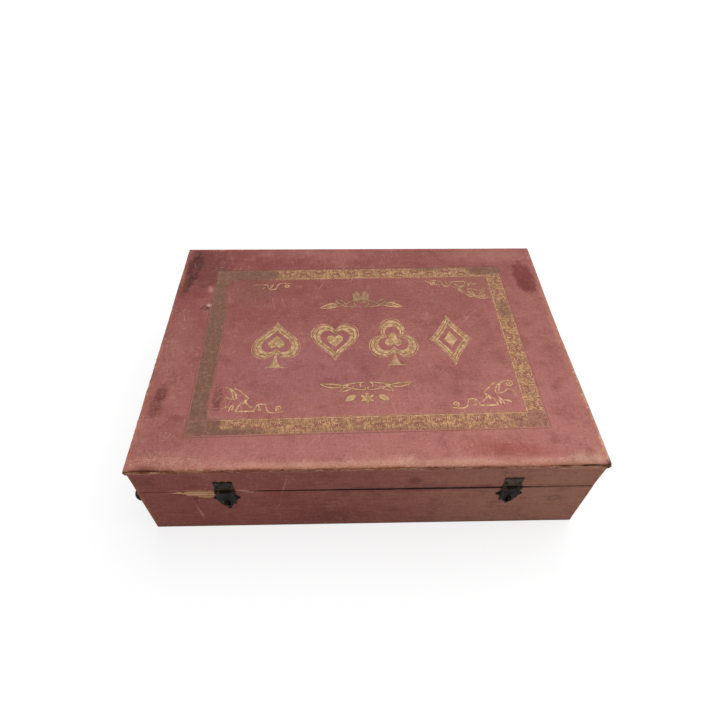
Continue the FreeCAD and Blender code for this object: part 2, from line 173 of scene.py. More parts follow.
# how far a point of a box's skin is from the nearest edge of the box, in millimetres: of the distances to
# the three pairs of faces, the least is to the skin's own face and the middle one is to the edge
def edgeDistance(tree, place, half, centre):
    away = addNode(tree, "VectorMath", {0: place, 1: tuple(c * mm for c in centre)}, operation="SUBTRACT")
    away = addNode(tree, "VectorMath", {0: away}, operation="ABSOLUTE")
    left = addNode(tree, "VectorMath", {0: tuple(h * mm for h in half), 1: away}, operation="SUBTRACT")
    left = inMillimetres(tree, left)
    split = [addNode(tree, "SeparateXYZ", {0: left}, i) for i in range(3)]
    small = calc(tree, "MINIMUM", split[0], split[1])
    large = calc(tree, "MAXIMUM", split[0], split[1])
    return calc(tree, "MAXIMUM", small, calc(tree, "MINIMUM", large, split[2]))


# stained and rubbed places of the cloth, and some painted sheen, highlight and shade, in millimetres: where,
# how large along each axis, how far turned in their face, the colour they leave, its share and how softly it
# ends, and last 1 where only the hollows of the nap take it or -1 where only its tips do. First come stains
# on the lid, then those on the front, then the rubbed edges and single scratches
clothMarksAndPaintedLight = [
    # a painted mauve sheen over the middle left of the lid
    ((-60, -40, 104), (110, 60, 9), 0, "#A2666C", 0.6, 1.0),
    ((-40, 138, 104), (130, 20, 9), 0, "#A56A62", 0.75, 1.0),
    ((-168, -104, 104), (56, 44, 9), 0, "#8F5850", 0.5, 1.0),
    ((150, 134, 104), (90, 22, 9), 0, "#B0776C", 0.7, 1.0),
    ((-184, -8, 104), (24, 70, 9), 0, "#A06C62", 0.6, 1.0),
    ((-170, 112, 104), (25, 46, 9), -4, "#723E3B", 0.85, 0.4),
    ((-172, 66, 104), (14, 9, 9), -10, "#82433F", 0.7, 0.6),
    ((-148, 136, 104), (28, 13, 9), 0, "#834A42", 0.6, 0.9),
    ((-189, 108, 104), (11, 52, 9), -5, "#482624", 0.92, 0.5),
    ((-115, 70, 104), (36, 28, 9), 12, "#82594B", 0.65, 0.9),
    ((-163, 75, 104), (5, 8, 9), 30, "#C48C84", 0.7, 0.8),
    ((183, 92, 104), (12.5, 34, 9), 4, "#7C3D3B", 0.9, 0.3),
    ((182, 82, 104), (8, 20, 9), 4, "#693130", 0.6, 0.8),
    ((114, -131, 104), (60, 15, 9), -2, "#A85F55", 0.8, 0.95),
    ((128, -132, 104), (34, 10, 9), -3, "#A0524A", 0.5, 0.95),
    ((-186, -76, 104), (8.5, 28, 9), -4, "#673632", 0.85, 0.7),
    ((-177, -50, 104), (9, 12, 9), 0, "#84504A", 0.6, 0.8),
    ((-168, -96, 104), (13, 6, 9), 0, "#84443D", 0.6, 0.9),
    ((-134, -77, 104), (6, 23, 9), 0, "#6C3835", 0.8, 0.7),
    ((60, 20, 104), (26, 16, 9), 0, "#8C4440", 0.35, 1.0),
    # painted shade below the blister, then a painted highlight on its top
    ((-165, 45.6, 105), (6.0, 5.4, 9), 25, "#562B29", 0.9, 0.5),
    ((-161.4, 49.6, 105), (3.4, 3.6, 9), 0, "#CF9F98", 0.95, 0.6),
    ((-10, -148, 22), (110, 14, 34), 0, "#96544D", 0.6, 1.0),
    # painted shade along the seam at the right of the front
    ((60, -148, 66.6), (150, 5, 7), 0, "#6A3630", 0.6, 1.0),
    ((41, -148, 80), (9, 5, 9), 0, "#7C423F", 0.7, 0.6),
    ((-26, -148, 17), (30, 4, 18), 0, "#7E4540", 0.5, 0.9),
    ((170, -148, 45), (6, 4, 8), 0, "#7E4E42", 0.5, 0.4),
    ((170.4, -148, 45.6), (4, 4, 5.4), 0, "#B07C6C", 0.7, 0.5),
    ((-109, -148, 67.4), (9, 4, 1.7), 5, "#F2B49C", 0.95, 0.6),
    ((-101, -148, 64.8), (5, 4, 1.2), -9, "#D89C88", 0.9, 0.6),
    ((-150, -148, 68.4), (24, 4, 1.5), 0, "#D2A088", 0.85, 0.8),
    ((-151, -148, 54.6), (2.8, 4, 1.1), -14, "#3E1714", 0.95, 0.5),
    ((-151, -148, 46.4), (2.6, 4, 0.9), 12, "#4A1C18", 0.9, 0.5),
    ((-148.6, -148, 50.5), (0.7, 4, 4.2), 12, "#C2897B", 0.8, 0.6),
    ((-199, 96, 102), (9, 40, 9), 3, "#9C6349", 0.8, 0.8),
    ((-200, -60, 102), (8, 90, 9), 0, "#A06A5A", 0.7, 0.8),
    ((-176, -130, 104), (56, 30, 9), 6, "#8A5A4C", 0.55, 1.0, 1),
    # the pale band along the lid's front edge: rubbed wear, and partly a painted highlight on its rounded
    # crest
    ((-184, -141, 104), (44, 15, 9), 5, "#CC9A80", 0.8, 1.0, -1),
    ((-150, -143, 104), (80, 9, 9), 1, "#CE9C86", 0.75, 0.95, -1),
    ((-60, -147, 104), (100, 8, 9), 0, "#CB9581", 0.8, 0.9),
    ((60, -146, 104), (150, 9, 9), 0, "#CC9482", 0.8, 0.9),
    ((-18, -143, 104), (24, 7, 9), 0, "#D8A894", 0.8, 0.9, -1),
    ((28, -142, 104), (26, 8, 9), 0, "#DBAD99", 0.8, 0.9, -1),
    ((90, -144, 104), (24, 6, 9), 0, "#D8A792", 0.7, 0.9, -1),
    ((186, -143, 104), (32, 11, 9), 12, "#CC9B86", 0.8, 0.9),
    ((180, -142.6, 104), (28, 4.2, 9), 1, "#E4B8A2", 0.9, 0.9, -1),
    ((148, -143.4, 104), (18, 3.2, 9), 0, "#DCAC94", 0.8, 0.9, -1),
    ((200, 10, 104), (9, 170, 9), 0, "#C48A76", 0.75, 1.0),
    ((60, 148, 104), (190, 4, 9), 0, "#B9785F", 0.7, 0.8),
    ((-44, 80, 104), (0.9, 13, 9), -24, "#C07A75", 0.8, 0.8),
    ((-50, 78, 104), (0.8, 9, 9), 18, "#BC7A74", 0.7, 0.8),
    ((40, -70, 104), (1.6, 17, 9), 2, "#C4746E", 0.6, 0.9),
    ((-72, -148, 72), (1.2, 4, 28), 13, "#C88C80", 0.8, 0.8),
    ((-80, -148, 38), (1.0, 4, 10), 24, "#C4887C", 0.7, 0.8),
    ((-88, -148, 35), (9, 4, 1.3), 18, "#C68C80", 0.6, 0.9),
    ((-64, -148, 88), (0.8, 4, 10), -32, "#C0857A", 0.65, 0.8),
    ((-152, -148, 29), (1.9, 4, 18), -5, "#CF9A8C", 0.75, 0.8),
    ((-47, -148, 54), (0.9, 4, 13), -8, "#BE8074", 0.6, 0.8),
]

# breaks in the worn edges, laid on last: dark ones, and then the pale threads beside them. The darkest, at
# the right front corner and in the cracks under the lid's front edge, are painted shade
edgeMarksAndPaintedShade = [
    # painted shade in the gap of the sprung right front corner, then a dark spot at the left front corner
    ((204, -149, 102), (7, 8, 9), "#2A160F", 0.97, 0.5),
    ((-201, -148, 100.6), (3.4, 5, 3.6), "#2A1A14", 0.9, 0.5),
    ((-199.5, 70, 103), (3, 30, 4), "#4E2A20", 0.6, 0.8),
    ((22, -149, 103), (20, 3, 3), "#A2583F", 0.7, 0.7),
    ((-92, -149, 103), (26, 3, 2.6), "#9E5A42", 0.7, 0.8),
    ((96, -149, 102.6), (16, 3, 2.6), "#9A5440", 0.7, 0.8),
    ((-181, -147, 104.2), (24, 7, 4), "#7C4C3E", 0.8, 1.0),
    ((170, -149, 104.2), (34, 3.4, 3), "#9C6C56", 0.7, 0.9),
    # a painted shadow band under the crest at the left of the front
    ((-181, -148.6, 103.4), (22, 4, 1.4), "#643424", 0.85, 0.6),
    ((-177, -149, 103.0), (15, 4, 1.0), "#542818", 0.6, 0.6),
    # painted shade in the crack under the lid's front edge, at the right
    ((187, -149.5, 103.1), (15, 4, 1.4), "#2A120A", 0.95, 0.5),
    ((163, -149.5, 102.6), (8, 4, 1.5), "#3A1A10", 0.9, 0.5),
    ((176, -149.5, 99.4), (30, 2.6, 1.0), "#E8B898", 0.75, 0.8),
    ((202, -126, 104), (3.4, 30, 3), "#DDB090", 0.6, 1.0),
    ((-180, -148.8, 100.4), (21, 6, 1.7), "#E2AE94", 0.8, 0.9),
    ((-146, -148.8, 102.0), (20, 6, 1.5), "#E6AE96", 0.85, 0.9),
]


# the torn lip of the lid's cloth, at a height: below it threads have been torn out to a pale fringe, and
# above it the crest is rubbed in places, with dark gaps between its fibres
def tornLip(tree, colour, place, z, lip):
    above = respan(tree, z, 0, 1, lip * mm, (lip + 1) * mm, clamp=False)
    fine = cloud(tree, place, (3.6, 3.6, 1.6), 6.0, 0.75, shift=37.0)
    uneven = respan(tree, fine, -1.5, 1.5, 0.3, 0.7, clamp=False)
    fringe = step(tree, calc(tree, "SUBTRACT", uneven, above), 1.9, 0.9, 0.95)
    fringe = calc(tree, "MULTIPLY", fringe, step(tree, above, 0.35, -0.1))
    lengths = step(tree, cloud(tree, place, 22, 3.0, 0.6, shift=61.0), 0.40, 0.56)
    fringe = calc(tree, "MULTIPLY", fringe, respan(tree, lengths, 0.15, 1.0))
    colour = lay(tree, fringe, colour, tint("#E2AC90"))
    crest = step(tree, calc(tree, "ADD", above, uneven), 3.6, 1.6, 0.85)
    rimmed = calc(tree, "ABSOLUTE", calc(tree, "SUBTRACT", above, 1.4))
    crest = calc(tree, "MULTIPLY", crest, step(tree, rimmed, 1.9, 1.2))
    colour = lay(tree, crest, colour, tint("#C27457"))
    dots = calc(tree, "MULTIPLY", crest, step(tree, fine, 0.49, 0.40))
    colour = lay(tree, dots, colour, tint("#6A2C1D"))
    fluff = calc(tree, "MULTIPLY", crest, step(tree, fine, 0.54, 0.62))
    return lay(tree, fluff, colour, tint("#F2BE9E"))


# painted shade in the seam between lid and base, darkest in the middle of the front
def seamShade(tree, colour, x, z, dust, front):
    beside = respan(tree, z, 0, 1, seamZ * mm, (seamZ + 1) * mm, clamp=False)
    beside = calc(tree, "ABSOLUTE", beside)
    beside = calc(tree, "ADD", beside, respan(tree, dust, -0.25, 0.25, 0.3, 0.7))
    thick = calc(tree, "DIVIDE", beside, respan(tree, x, 0.75, 1.45, -110 * mm, 20 * mm))
    span = calc(tree, "SUBTRACT", step(tree, x, -102 * mm, -92 * mm), step(tree, x, 135 * mm, 150 * mm, 0.6))
    seamShadow = calc(tree, "MULTIPLY", step(tree, thick, 1.25, 0.75, 1.12), span)
    return lay(tree, calc(tree, "MULTIPLY", seamShadow, front), colour, tint("#1B0D0A"))


# hairline scratches: size of the noise, drawn out 50 times as long as wide, its turn and its shift
hairlines = [((0.9, 46, 46), (0, 8, 14), 1.7), ((0.9, 40, 46), (0, -20, -38), 3.9),
             ((40, 0.9, 0.8), (0, 9, 12), 5.3), ((34, 0.9, 0.7), (0, -13, -20), 7.1)]


# scuffs: short level streaks where things have slid along the front, dark bands of handling, and scratches
def handling(tree, colour, place, x, front):
    rub = cloud(tree, place, (13, 9, 1.1), 5.0, 0.7, shift=23.0)
    worn = cloud(tree, place, 46, 3.0, 0.6, shift=33.0)
    slid = step(tree, worn, 0.38, 0.58, respan(tree, front, 0.1, 0.57))
    colour = lay(tree, calc(tree, "MULTIPLY", step(tree, rub, 0.53, 0.68), slid), colour, tint("#C9988B"))
    bands = cloud(tree, place, (34, 34, 7), 5.0, 0.65, shift=59.0)
    handled = calc(tree, "MULTIPLY", step(tree, bands, 0.48, 0.74, 0.45), front)
    colour = lay(tree, handled, colour, tint("#81453F"))
    # hairlines show only here and there; the nap at the right end is whole, so none shows there
    gate = cloud(tree, place, 34, 3.0, 0.6, shift=29.0)
    gate = calc(tree, "SUBTRACT", gate, step(tree, x, 135 * mm, 165 * mm, 0.3))
    for size, turn, shift in hairlines:
        line = step(tree, cloud(tree, place, size, 2.0, 0.5, shift, turn), 0.66, 0.70)
        if size[0] > 1:
            hair = calc(tree, "MULTIPLY", line, step(tree, gate, 0.44, 0.62, 0.55))
        else:
            # upright ones are rare on the front
            hair = calc(tree, "MULTIPLY", line, step(tree, gate, 0.46, 0.64, 0.5))
            hair = calc(tree, "MULTIPLY", hair, respan(tree, front, 1.0, 0.1))
        colour = lay(tree, hair, colour, tint("#CE9C90"))
    return colour


# book cloth: cotton dyed dull red, sized and calendered, then glued over board. It shows faded clouds, a fine
# mottle of worn size, straight hairline scratches and pale fibres where the edges have rubbed through. lip is
# the height of the torn line along the lid's edge, where there is one; plain cloth has no marks and no wear
def clothColour(tree, place, half, centre, lip=None, plain=False):
    x, y, z = [addNode(tree, "SeparateXYZ", {0: place}, i) for i in range(3)]
    # lighter towards the right and the front: partly dye that the light has faded, and partly painted light
    # falling from the front right
    lean = addNode(tree, "VectorMath", {0: place, 1: (1.375, -3.04, 0)}, 1, operation="DOT_PRODUCT")
    colour = lay(tree, respan(tree, lean, 0, 1, -0.5, 0.5), tint("#894B48"), tint("#B8776F"))
    # the front face, lighter towards the right: partly faded dye, and partly painted light from the right
    front = step(tree, y, (frontY + 1.0) * mm, (frontY + 0.3) * mm, 0.85)
    frontFadeAndLight = layTone(tree, tint("#A65D56"), "#C08873", x, -80 * mm, 190 * mm)
    colour = lay(tree, front, colour, frontFadeAndLight)
    fade = cloud(tree, place, 80, 4.0)
    colour = layTone(tree, colour, "#8A4C48", fade, 0.50, 0.30, 0.4)
    colour = layTone(tree, colour, "#B4776C", fade, 0.52, 0.72, 0.4)
    ragged = respan(tree, cloud(tree, place, 13, 6.0, 0.68, shift=7.7), -0.7, 0.7)
    # raised nap: rough places wear on its tips, and keep dirt between them
    nap = cloud(tree, place, 1.4, 6.0, 0.8, shift=53.0)
    tips = {1: step(tree, nap, 0.60, 0.40), -1: step(tree, nap, 0.42, 0.66)}
    measured = inMillimetres(tree, place)
    for at, size, turn, tone, share, soft, *rough in [] if plain else clothMarksAndPaintedLight:
        axes = (0, 0, turn) if at[2] > lidHigh else (0, turn, 0)
        mask = patch(tree, measured, ragged, at, size, axes, soft, share)
        if rough:
            mask = calc(tree, "MULTIPLY", mask, tips[rough[0]])
        colour = lay(tree, mask, colour, tint(tone))
    grime = cloud(tree, place, 19, 4.0, 0.62, shift=11.3)
    colour = layTone(tree, colour, "#7A3F39", grime, 0.50, 0.74, 0.42)
    dust = cloud(tree, place, 15, 6.0, 0.68, shift=19.1)
    colour = layTone(tree, colour, "#C18D80", dust, 0.52, 0.76, 0.38)
    mottle = cloud(tree, place, 2.0, 5.0, 0.75, shift=17.9)
    colour = layTone(tree, colour, "#6E3634", mottle, 0.50, 0.30, 0.42)
    colour = layTone(tree, colour, "#C6938A", mottle, 0.54, 0.76, 0.42)
    # threads are 0.5 mm apart; their slubs are drawn 1.4 mm wide, so that they show from a step away
    upright = cloud(tree, place, (1.4, 13, 13), 3.0, 0.7)
    across = cloud(tree, place, (16, 1.5, 1.5), 3.0, 0.7, shift=2.3)
    slubs = calc(tree, "ADD", upright, across)
    colour = layTone(tree, colour, "#763B3A", slubs, 0.97, 0.76, 0.20)
    colour = layTone(tree, colour, "#C8948A", slubs, 1.05, 1.30, 0.22)
    if plain:
        return colour, slubs
    colour = handling(tree, colour, place, x, front)
    # wear: a frayed line along each edge, down to the pale back of the cloth
    fibres = cloud(tree, place, 4.5, 7.0, 0.75, shift=31.0)
    reach = respan(tree, fibres, -3.4, 3.4, 0.3, 0.7, clamp=False)
    rubbed = calc(tree, "SUBTRACT", edgeDistance(tree, place, half, centre), reach)
    colour = layTone(tree, colour, "#B4745E", rubbed, 3.6, 0.2, 0.6)
    colour = layTone(tree, colour, "#D6AA8F", rubbed, 0.6, -1.2, 0.8)
    if lip:
        colour = tornLip(tree, colour, place, z, lip)
    colour = seamShade(tree, colour, x, z, dust, front)
    for at, size, tone, share, soft in edgeMarksAndPaintedShade:
        mask = patch(tree, measured, ragged, at, size, soft=soft, share=share)
        colour = lay(tree, mask, colour, tint(tone))
    return colour, slubs


# thread ribs for the bump: waves along each axis, drawn 1.8 mm apart, coarser than the real 0.5 mm, so that
# they show
def weaveHeight(tree, place, slubs, spacing=1.8):
    total = calc(tree, "MULTIPLY", slubs, 0.5)
    for direction in ("X", "Y", "Z"):
        # a wave texture turns through 20 radians in each unit of its scale
        rib = addNode(tree, "TexWave", {"Vector": place, "Scale": 2 * math.pi / 20 / (spacing * mm),
                                        "Distortion": 1.2, "Detail": 1.0}, 1, bands_direction=direction)
        total = calc(tree, "ADD", total, calc(tree, "MULTIPLY", rib, 0.16))
    return total


def bookCloth(name, half, centre, lip=None):
    material, tree, shader, place = startMaterial(name, IOR=1.48, Specular_IOR_Level=0.12)
    colour, slubs = clothColour(tree, place, half, centre, lip)
    rough = respan(tree, slubs, 0.66, 0.84, 0.7, 1.3)
    wire(tree, shader, colour, rough, weaveHeight(tree, place, slubs), 0.35, 0.25)
    return material


# cotton thread: undyed to dull pink, with the twist too fine to see, so only its soft uneven colour shows
def cottonThread(name):
    material, tree, shader, place = startMaterial(name, IOR=1.5, Specular_IOR_Level=0.15)
    shade = cloud(tree, place, 11, 3.0)
    colour = layTone(tree, tint("#B06A52"), "#E8B69C", shade, 0.35, 0.65)
    wire(tree, shader, colour, respan(tree, shade, 0.8, 0.95))
    return material


# planed poplar: pale wood with straight faint grain along the board and a few darker streaks
def planedPoplar(name, grain):
    material, tree, shader, place = startMaterial(name, IOR=1.5)
    streak = cloud(tree, place, grain, 5.0, 0.6)
    colour = layTone(tree, tint("#B9724C"), "#F4BE94", streak, 0.3, 0.7)
    pores = cloud(tree, place, tuple(g * 0.3 for g in grain), 3.0, 0.7, shift=4.0)
    colour = layTone(tree, colour, "#7A4A24", pores, 0.53, 0.66, 0.75)
    dirt = cloud(tree, place, 14, 5.0, shift=9.0)
    colour = layTone(tree, colour, "#74502F", dirt, 0.52, 0.75, 0.55)
    wire(tree, shader, colour, respan(tree, streak, 0.55, 0.85), pores, 0.4, 0.2)
    return material


# wove paper, pasted on: warm off-white that has browned in clouds, with fibres and small rust spots. Old hide
# glue takes the same clouds and spots in its own browns
def agedPaper(name, light, dark, spot):
    material, tree, shader, place = startMaterial(name, IOR=1.45)
    tone = cloud(tree, place, 70, 5.0)
    colour = layTone(tree, tint(dark), light, tone, 0.32, 0.68)
    fibre = cloud(tree, place, 2.2, 5.0, 0.75, shift=6.0)
    colour = layTone(tree, colour, dark, fibre, 0.56, 0.76, 0.35)
    foxing = cloud(tree, place, 5, 2.0, 0.5, shift=13.0)
    colour = layTone(tree, colour, spot, foxing, 0.68, 0.80, 0.7)
    scuff = cloud(tree, place, (24, 24, 9), 6.0, 0.7, shift=19.0)
    colour = layTone(tree, colour, spot, scuff, 0.55, 0.78, 0.45)
    wire(tree, shader, colour, respan(tree, fibre, 0.75, 0.95), fibre, 0.3, 0.15)
    return material


# sheet metal with an oxide skin: dark and dull in the hollows, rubbed brighter here and there
def oxidisedMetal(name, skin, rubbed, spots, metallic, roughness, gloss=0.5):
    material, tree, shader, place = startMaterial(name, Specular_IOR_Level=gloss)
    clouds = cloud(tree, place, 9, 6.0, 0.7)
    colour = layTone(tree, tint(skin), rubbed, clouds, 0.38, 0.66)
    pits = cloud(tree, place, 2.4, 5.0, 0.75, shift=5.0)
    colour = layTone(tree, colour, spots, pits, 0.56, 0.72, 0.7)
    shine = respan(tree, pits, metallic, metallic * 0.85, 0.35, 0.7)
    tree.links.new(shine, shader.inputs["Metallic"])
    rough = respan(tree, clouds, roughness + 0.12, roughness - 0.12, 0.3, 0.7)
    wire(tree, shader, colour, rough, pits, 0.5, 0.2)
    return material


# where the blocking foil has turned olive brown, and where it has rubbed off: x, y, the size along each, how
# brown, how softly it ends, and how much has gone
foilMarks = [
    (-150, -2, 24, 150, 1.0, 0.25, 0.1),
    (-148, -104, 28, 15, 1.0, 0.4, 0.3),
    (-126, 100, 46, 20, 1.0, 0.5, 0.2),
    (142, 108, 34, 16, 0.95, 0.6, 0.2),
    (76, 112, 34, 11, 0.8, 0.8, 0.3),
    (-20, 112, 100, 7, 0.75, 0.9, 0.3),
    (-120, -113, 50, 9, 0.9, 0.7, 0.2),
    (30, -115, 125, 9, 0.7, 0.8, 0.9),
    (152, -103, 13, 12, 0.8, 0.4, 0.6),
    (134, -104, 14, 14, 0.5, 0.9, 0.7),
    (150, 40, 14, 26, 0.6, 0.9, 0.2),
    (112, 76, 48, 30, 0.4, 0.6, 0.5),
    (-128, 68, 32, 30, 0.9, 0.7, 2.0),
    (-134, -76, 13, 28, 0.6, 0.7, 1.8),
    (24, 56, 14, 10, 0.6, 0.9, 0.6),
    (0, 58, 40, 24, 0.62, 0.4, 0.3),
    (0, -68, 52, 24, 0.25, 0.4, 0.0),
]


# a mask for each of these marks, with its rubbing; as strong as it is brown times stained, or else whole
def foilMasks(tree, place, stained=None):
    ragged = respan(tree, cloud(tree, place, 9, 6.0, 0.7, shift=43.0), -0.5, 0.5)
    measured = inMillimetres(tree, place)
    for x, y, sizeX, sizeY, dull, soft, rub in foilMarks:
        share = 1.0 if stained is None else dull * stained
        mask = patch(tree, measured, ragged, (x, y, 104), (sizeX, sizeY, 9), soft=soft, share=share)
        yield mask, dull, rub


# blocking foil: imitation gold leaf pressed hot into the cloth. It is a dull yellow metal where whole, olive
# brown where its copper has oxidised, and speckled with cloth where hands have rubbed it
def goldFoil(name, dark, light, wear, tarnish, size):
    material, tree, shader, place = startMaterial(name, Specular_IOR_Level=0.2)
    cloth, slubs = clothColour(tree, place, lidHalf, lidCentre, plain=True)
    grain = cloud(tree, place, size, 6.0, 0.75, shift=41.0)
    colour = layTone(tree, tint(dark), light, grain, 0.36, 0.66)
    browned, bared = step(tree, grain, 0.62, 0.40, tarnish), None
    for mask, dull, rub in foilMasks(tree, place):
        browned = calc(tree, "MAXIMUM", browned, calc(tree, "MULTIPLY", mask, dull))
        rubbed = calc(tree, "MULTIPLY", mask, rub * 0.35)
        bared = rubbed if bared is None else calc(tree, "MAXIMUM", bared, rubbed)
    olive = layTone(tree, tint("#775346"), "#8E6953", grain, 0.4, 0.62)
    colour = lay(tree, browned, colour, olive)
    # rubbing shows the cloth in specks of about a millimetre, more of them where more has gone
    specks = calc(tree, "ADD", cloud(tree, place, 1.8, 4.0, 0.7, shift=47.0), bared)
    bare = step(tree, specks, 0.66 - wear, 0.80 - wear, 0.9)
    colour = lay(tree, bare, colour, cloth)
    lost = calc(tree, "MAXIMUM", browned, bare)
    tree.links.new(respan(tree, lost, 0.35, 0.0), shader.inputs["Metallic"])
    rough = respan(tree, lost, 0.5, 0.78)
    wire(tree, shader, colour, rough, weaveHeight(tree, place, slubs), 0.25, 0.2)
    return material


# cloth left standing between the stamped lines, darkened by the press and browned with the foil beside it
def unstampedCloth(name, tone, share, stained):
    material, tree, shader, place = startMaterial(name, Roughness=0.75, Specular_IOR_Level=0.12)
    cloth = clothColour(tree, place, lidHalf, lidCentre, plain=True)[0]
    colour = lay(tree, share, cloth, tint(tone))
    for mask, dull, rub in foilMasks(tree, place, stained):
        colour = lay(tree, mask, colour, tint("#7C594A"))
    wire(tree, shader, colour)
    return material


unworn = 400.0  # far enough off that the rims of the seam count as no edge
materials = {
    "lidTopCloth": bookCloth("faded red book cloth, lid top", lidHalf, lidCentre, lipZ),
    "lidSideCloth": bookCloth("faded red book cloth, lid sides", (sideX, backY, unworn), (0, 0, 0), lipZ),
    "baseCloth": bookCloth("faded red book cloth, base", (sideX, backY, unworn), (0, 0, baseLow + unworn)),
    "goldFoil": goldFoil("rubbed blocking foil", "#AA7F5A", "#D3AE83", -0.1, 0.25, 5),
    "pipFoil": goldFoil("rubbed blocking foil, pips", "#9C7751", "#C3A178", -0.1, 0.25, 5),
    "wornFoil": goldFoil("worn blocking foil, border", "#8E6648", "#B68C62", 0.0, 0.4, 3.2),
    "bandCloth": unstampedCloth("unstamped cloth in the border", "#8C5C47", 0.6, 1.0),
    "fieldCloth": unstampedCloth("cloth dusted with foil", "#9C6658", 0.6, 0.1),
    "cottonThread": cottonThread("frayed cotton thread"),
    "longWood": planedPoplar("planed poplar, long boards", (50, 4, 2.4)),
    "sideWood": planedPoplar("planed poplar, side boards", (4, 50, 2.4)),
    "liningPaper": agedPaper("aged wove lining paper", "#D9C9A6", "#B79F76", "#8E6B41"),
    "undersidePaper": agedPaper("scuffed brown underside paper", "#7A5F48", "#573F2E", "#35261B"),
    "dividerPaper": agedPaper("papered divider board", "#D2C09A", "#AC9269", "#80603A"),
    # dark glue and dirt, also painted shade in the crack under the lid's top cloth
    "oldGlueAndShade": agedPaper("old hide glue with dirt", "#6A3F2C", "#4C2B1E", "#2A1610"),
    "steelWire": oxidisedMetal("drawn steel wire", "#5A5754", "#8C8984", "#4A3A30", 0.9, 0.45),
    "blackIron": oxidisedMetal("blackened sheet iron", "#1E180F", "#43382A", "#3A2214", 0.1, 0.5, 0.08),
    "brownedIron": oxidisedMetal("blackened sheet iron, browned", "#2A2218", "#564838", "#4A3020", 0.1, 0.5,
                                 0.1),
    "darkIron": oxidisedMetal("blackened sheet iron, sooty", "#100D08", "#2A2217", "#2E1A0E", 0.1, 0.5, 0.06),
    "hingeBrass": oxidisedMetal("tarnished rolled brass", "#6B5428", "#A8884A", "#4A3A20", 0.9, 0.42),
}
finishOf = {"poplar": "longWood", "lining_paper": "liningPaper", "underside_paper": "undersidePaper",
            "divider_board": "dividerPaper", "steel_pins": "steelWire", "blackened_metal": "darkIron",
            "hinge_brass": "hingeBrass", "book_cloth": "baseCloth"}
for part in frame["record"]["subparts"]:
    finish = finishOf[part["material_slot"]]
    if finish == "longWood" and ("left" in part["node"] or "right" in part["node"]):
        finish = "sideWood"
    slots = nodes[part["node"]].data.materials
    slots.clear()
    slots.append(materials[finish])


# soft lumps between -1 and 1: random heights on a cubic lattice, joined by smooth steps between its points
def lumps(points, cell, seed):
    scaled = points / cell
    low = np.floor(scaled)
    t = scaled - low
    t = t * t * (3 - 2 * t)
    total = np.zeros(points.shape[:-1])
    for corner in itertools.product((0, 1), repeat=3):
        hashed = np.sin((low + corner) @ np.array((127.1, 311.7, 74.7)) + seed * 53.3) * 43758.5453
        weight = np.prod(np.where(np.array(corner, bool), t, 1 - t), axis=-1)
        total += weight * (hashed - np.floor(hashed))
    return 2 * total - 1


# a smooth step from 0 at low to 1 at high, for whole arrays
def ramp(values, low, high):
    t = np.clip((values - low) / (high - low), 0, 1)
    return t * t * (3 - 2 * t)


# heights that rise along x, each from 0 at a start to its full height at an end
def rises(x, spans):
    return sum(high * ramp(x, start, end) for start, end, high in spans)


# quads between neighbours on a grid of rows by columns, the last column joined to the first where it wraps
def gridQuads(rows, columns, wrap):
    index = np.arange(rows * columns).reshape(rows, columns)
    nextColumn = np.roll(index, -1, axis=1) if wrap else index[:, 1:]
    own = index if wrap else index[:, :-1]
    return np.stack([own[:-1], nextColumn[:-1], nextColumn[1:], own[1:]], axis=-1)


# an object in the scene, at the origin
def addObject(name, data):
    made = bpy.data.objects.new(name, data)
    bpy.context.scene.collection.objects.link(made)
    return made


# faces of tubes, whose points are tubes by rows by a ring; capped ones get a face at either end
def tubeFaces(points, capped):
    count, rows, around = points.shape[:3]
    start = (np.arange(count) * rows * around)[:, None]
    faces = (gridQuads(rows, around, True) + start[:, None, None]).reshape(-1, 4).tolist()
    if capped:
        ring = np.arange(around)
        faces += (ring[::-1] + start).tolist() + (ring + (rows - 1) * around + start).tolist()
    return faces


# one mesh object from points in millimetres and faces, placed in the frame and given its finish
def addPiece(name, points, faces, body, finish, standsFor=(), recalculate=False):
    mesh = bpy.data.meshes.new(name)
    mesh.from_pydata((points.reshape(-1, 3) * mm).tolist(), [], faces)
    work = bmesh.new()
    work.from_mesh(mesh)
    bmesh.ops.remove_doubles(work, verts=work.verts, dist=1e-7)
    bmesh.ops.delete(work, geom=[v for v in work.verts if not v.link_faces], context="VERTS")
    if recalculate:
        bmesh.ops.recalc_face_normals(work, faces=work.faces)
    work.to_mesh(mesh)
    work.free()
    mesh.polygons.foreach_set("use_smooth", [True] * len(mesh.polygons))
    piece = addObject(name, mesh)
    mesh.materials.append(materials[finish])
    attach(piece, body)
    if standsFor:
        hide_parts(*standsFor)
    print("piece", name, "with", len(mesh.polygons), "faces")
    return piece


# thickness inwards from an outer skin, with closed borders
def thicken(piece, thickness):
    shell = piece.modifiers.new("cloth thickness", "SOLIDIFY")
    shell.thickness = thickness * mm
    shell.offset = -1.0
    shell.use_even_offset = False


# stations along a straight run, a coarse step apart and finer inside the given spans
def stations(low, high, coarse, spans=()):
    marks = np.linspace(low, high, int(round((high - low) / coarse)) + 1)
    for start, end, fine in spans:
        marks = marks[(marks < start - 0.1) | (marks > end + 0.1)]
        marks = np.concatenate([marks, np.linspace(start, end, int(round((end - start) / fine)) + 1)])
    return np.sort(marks)


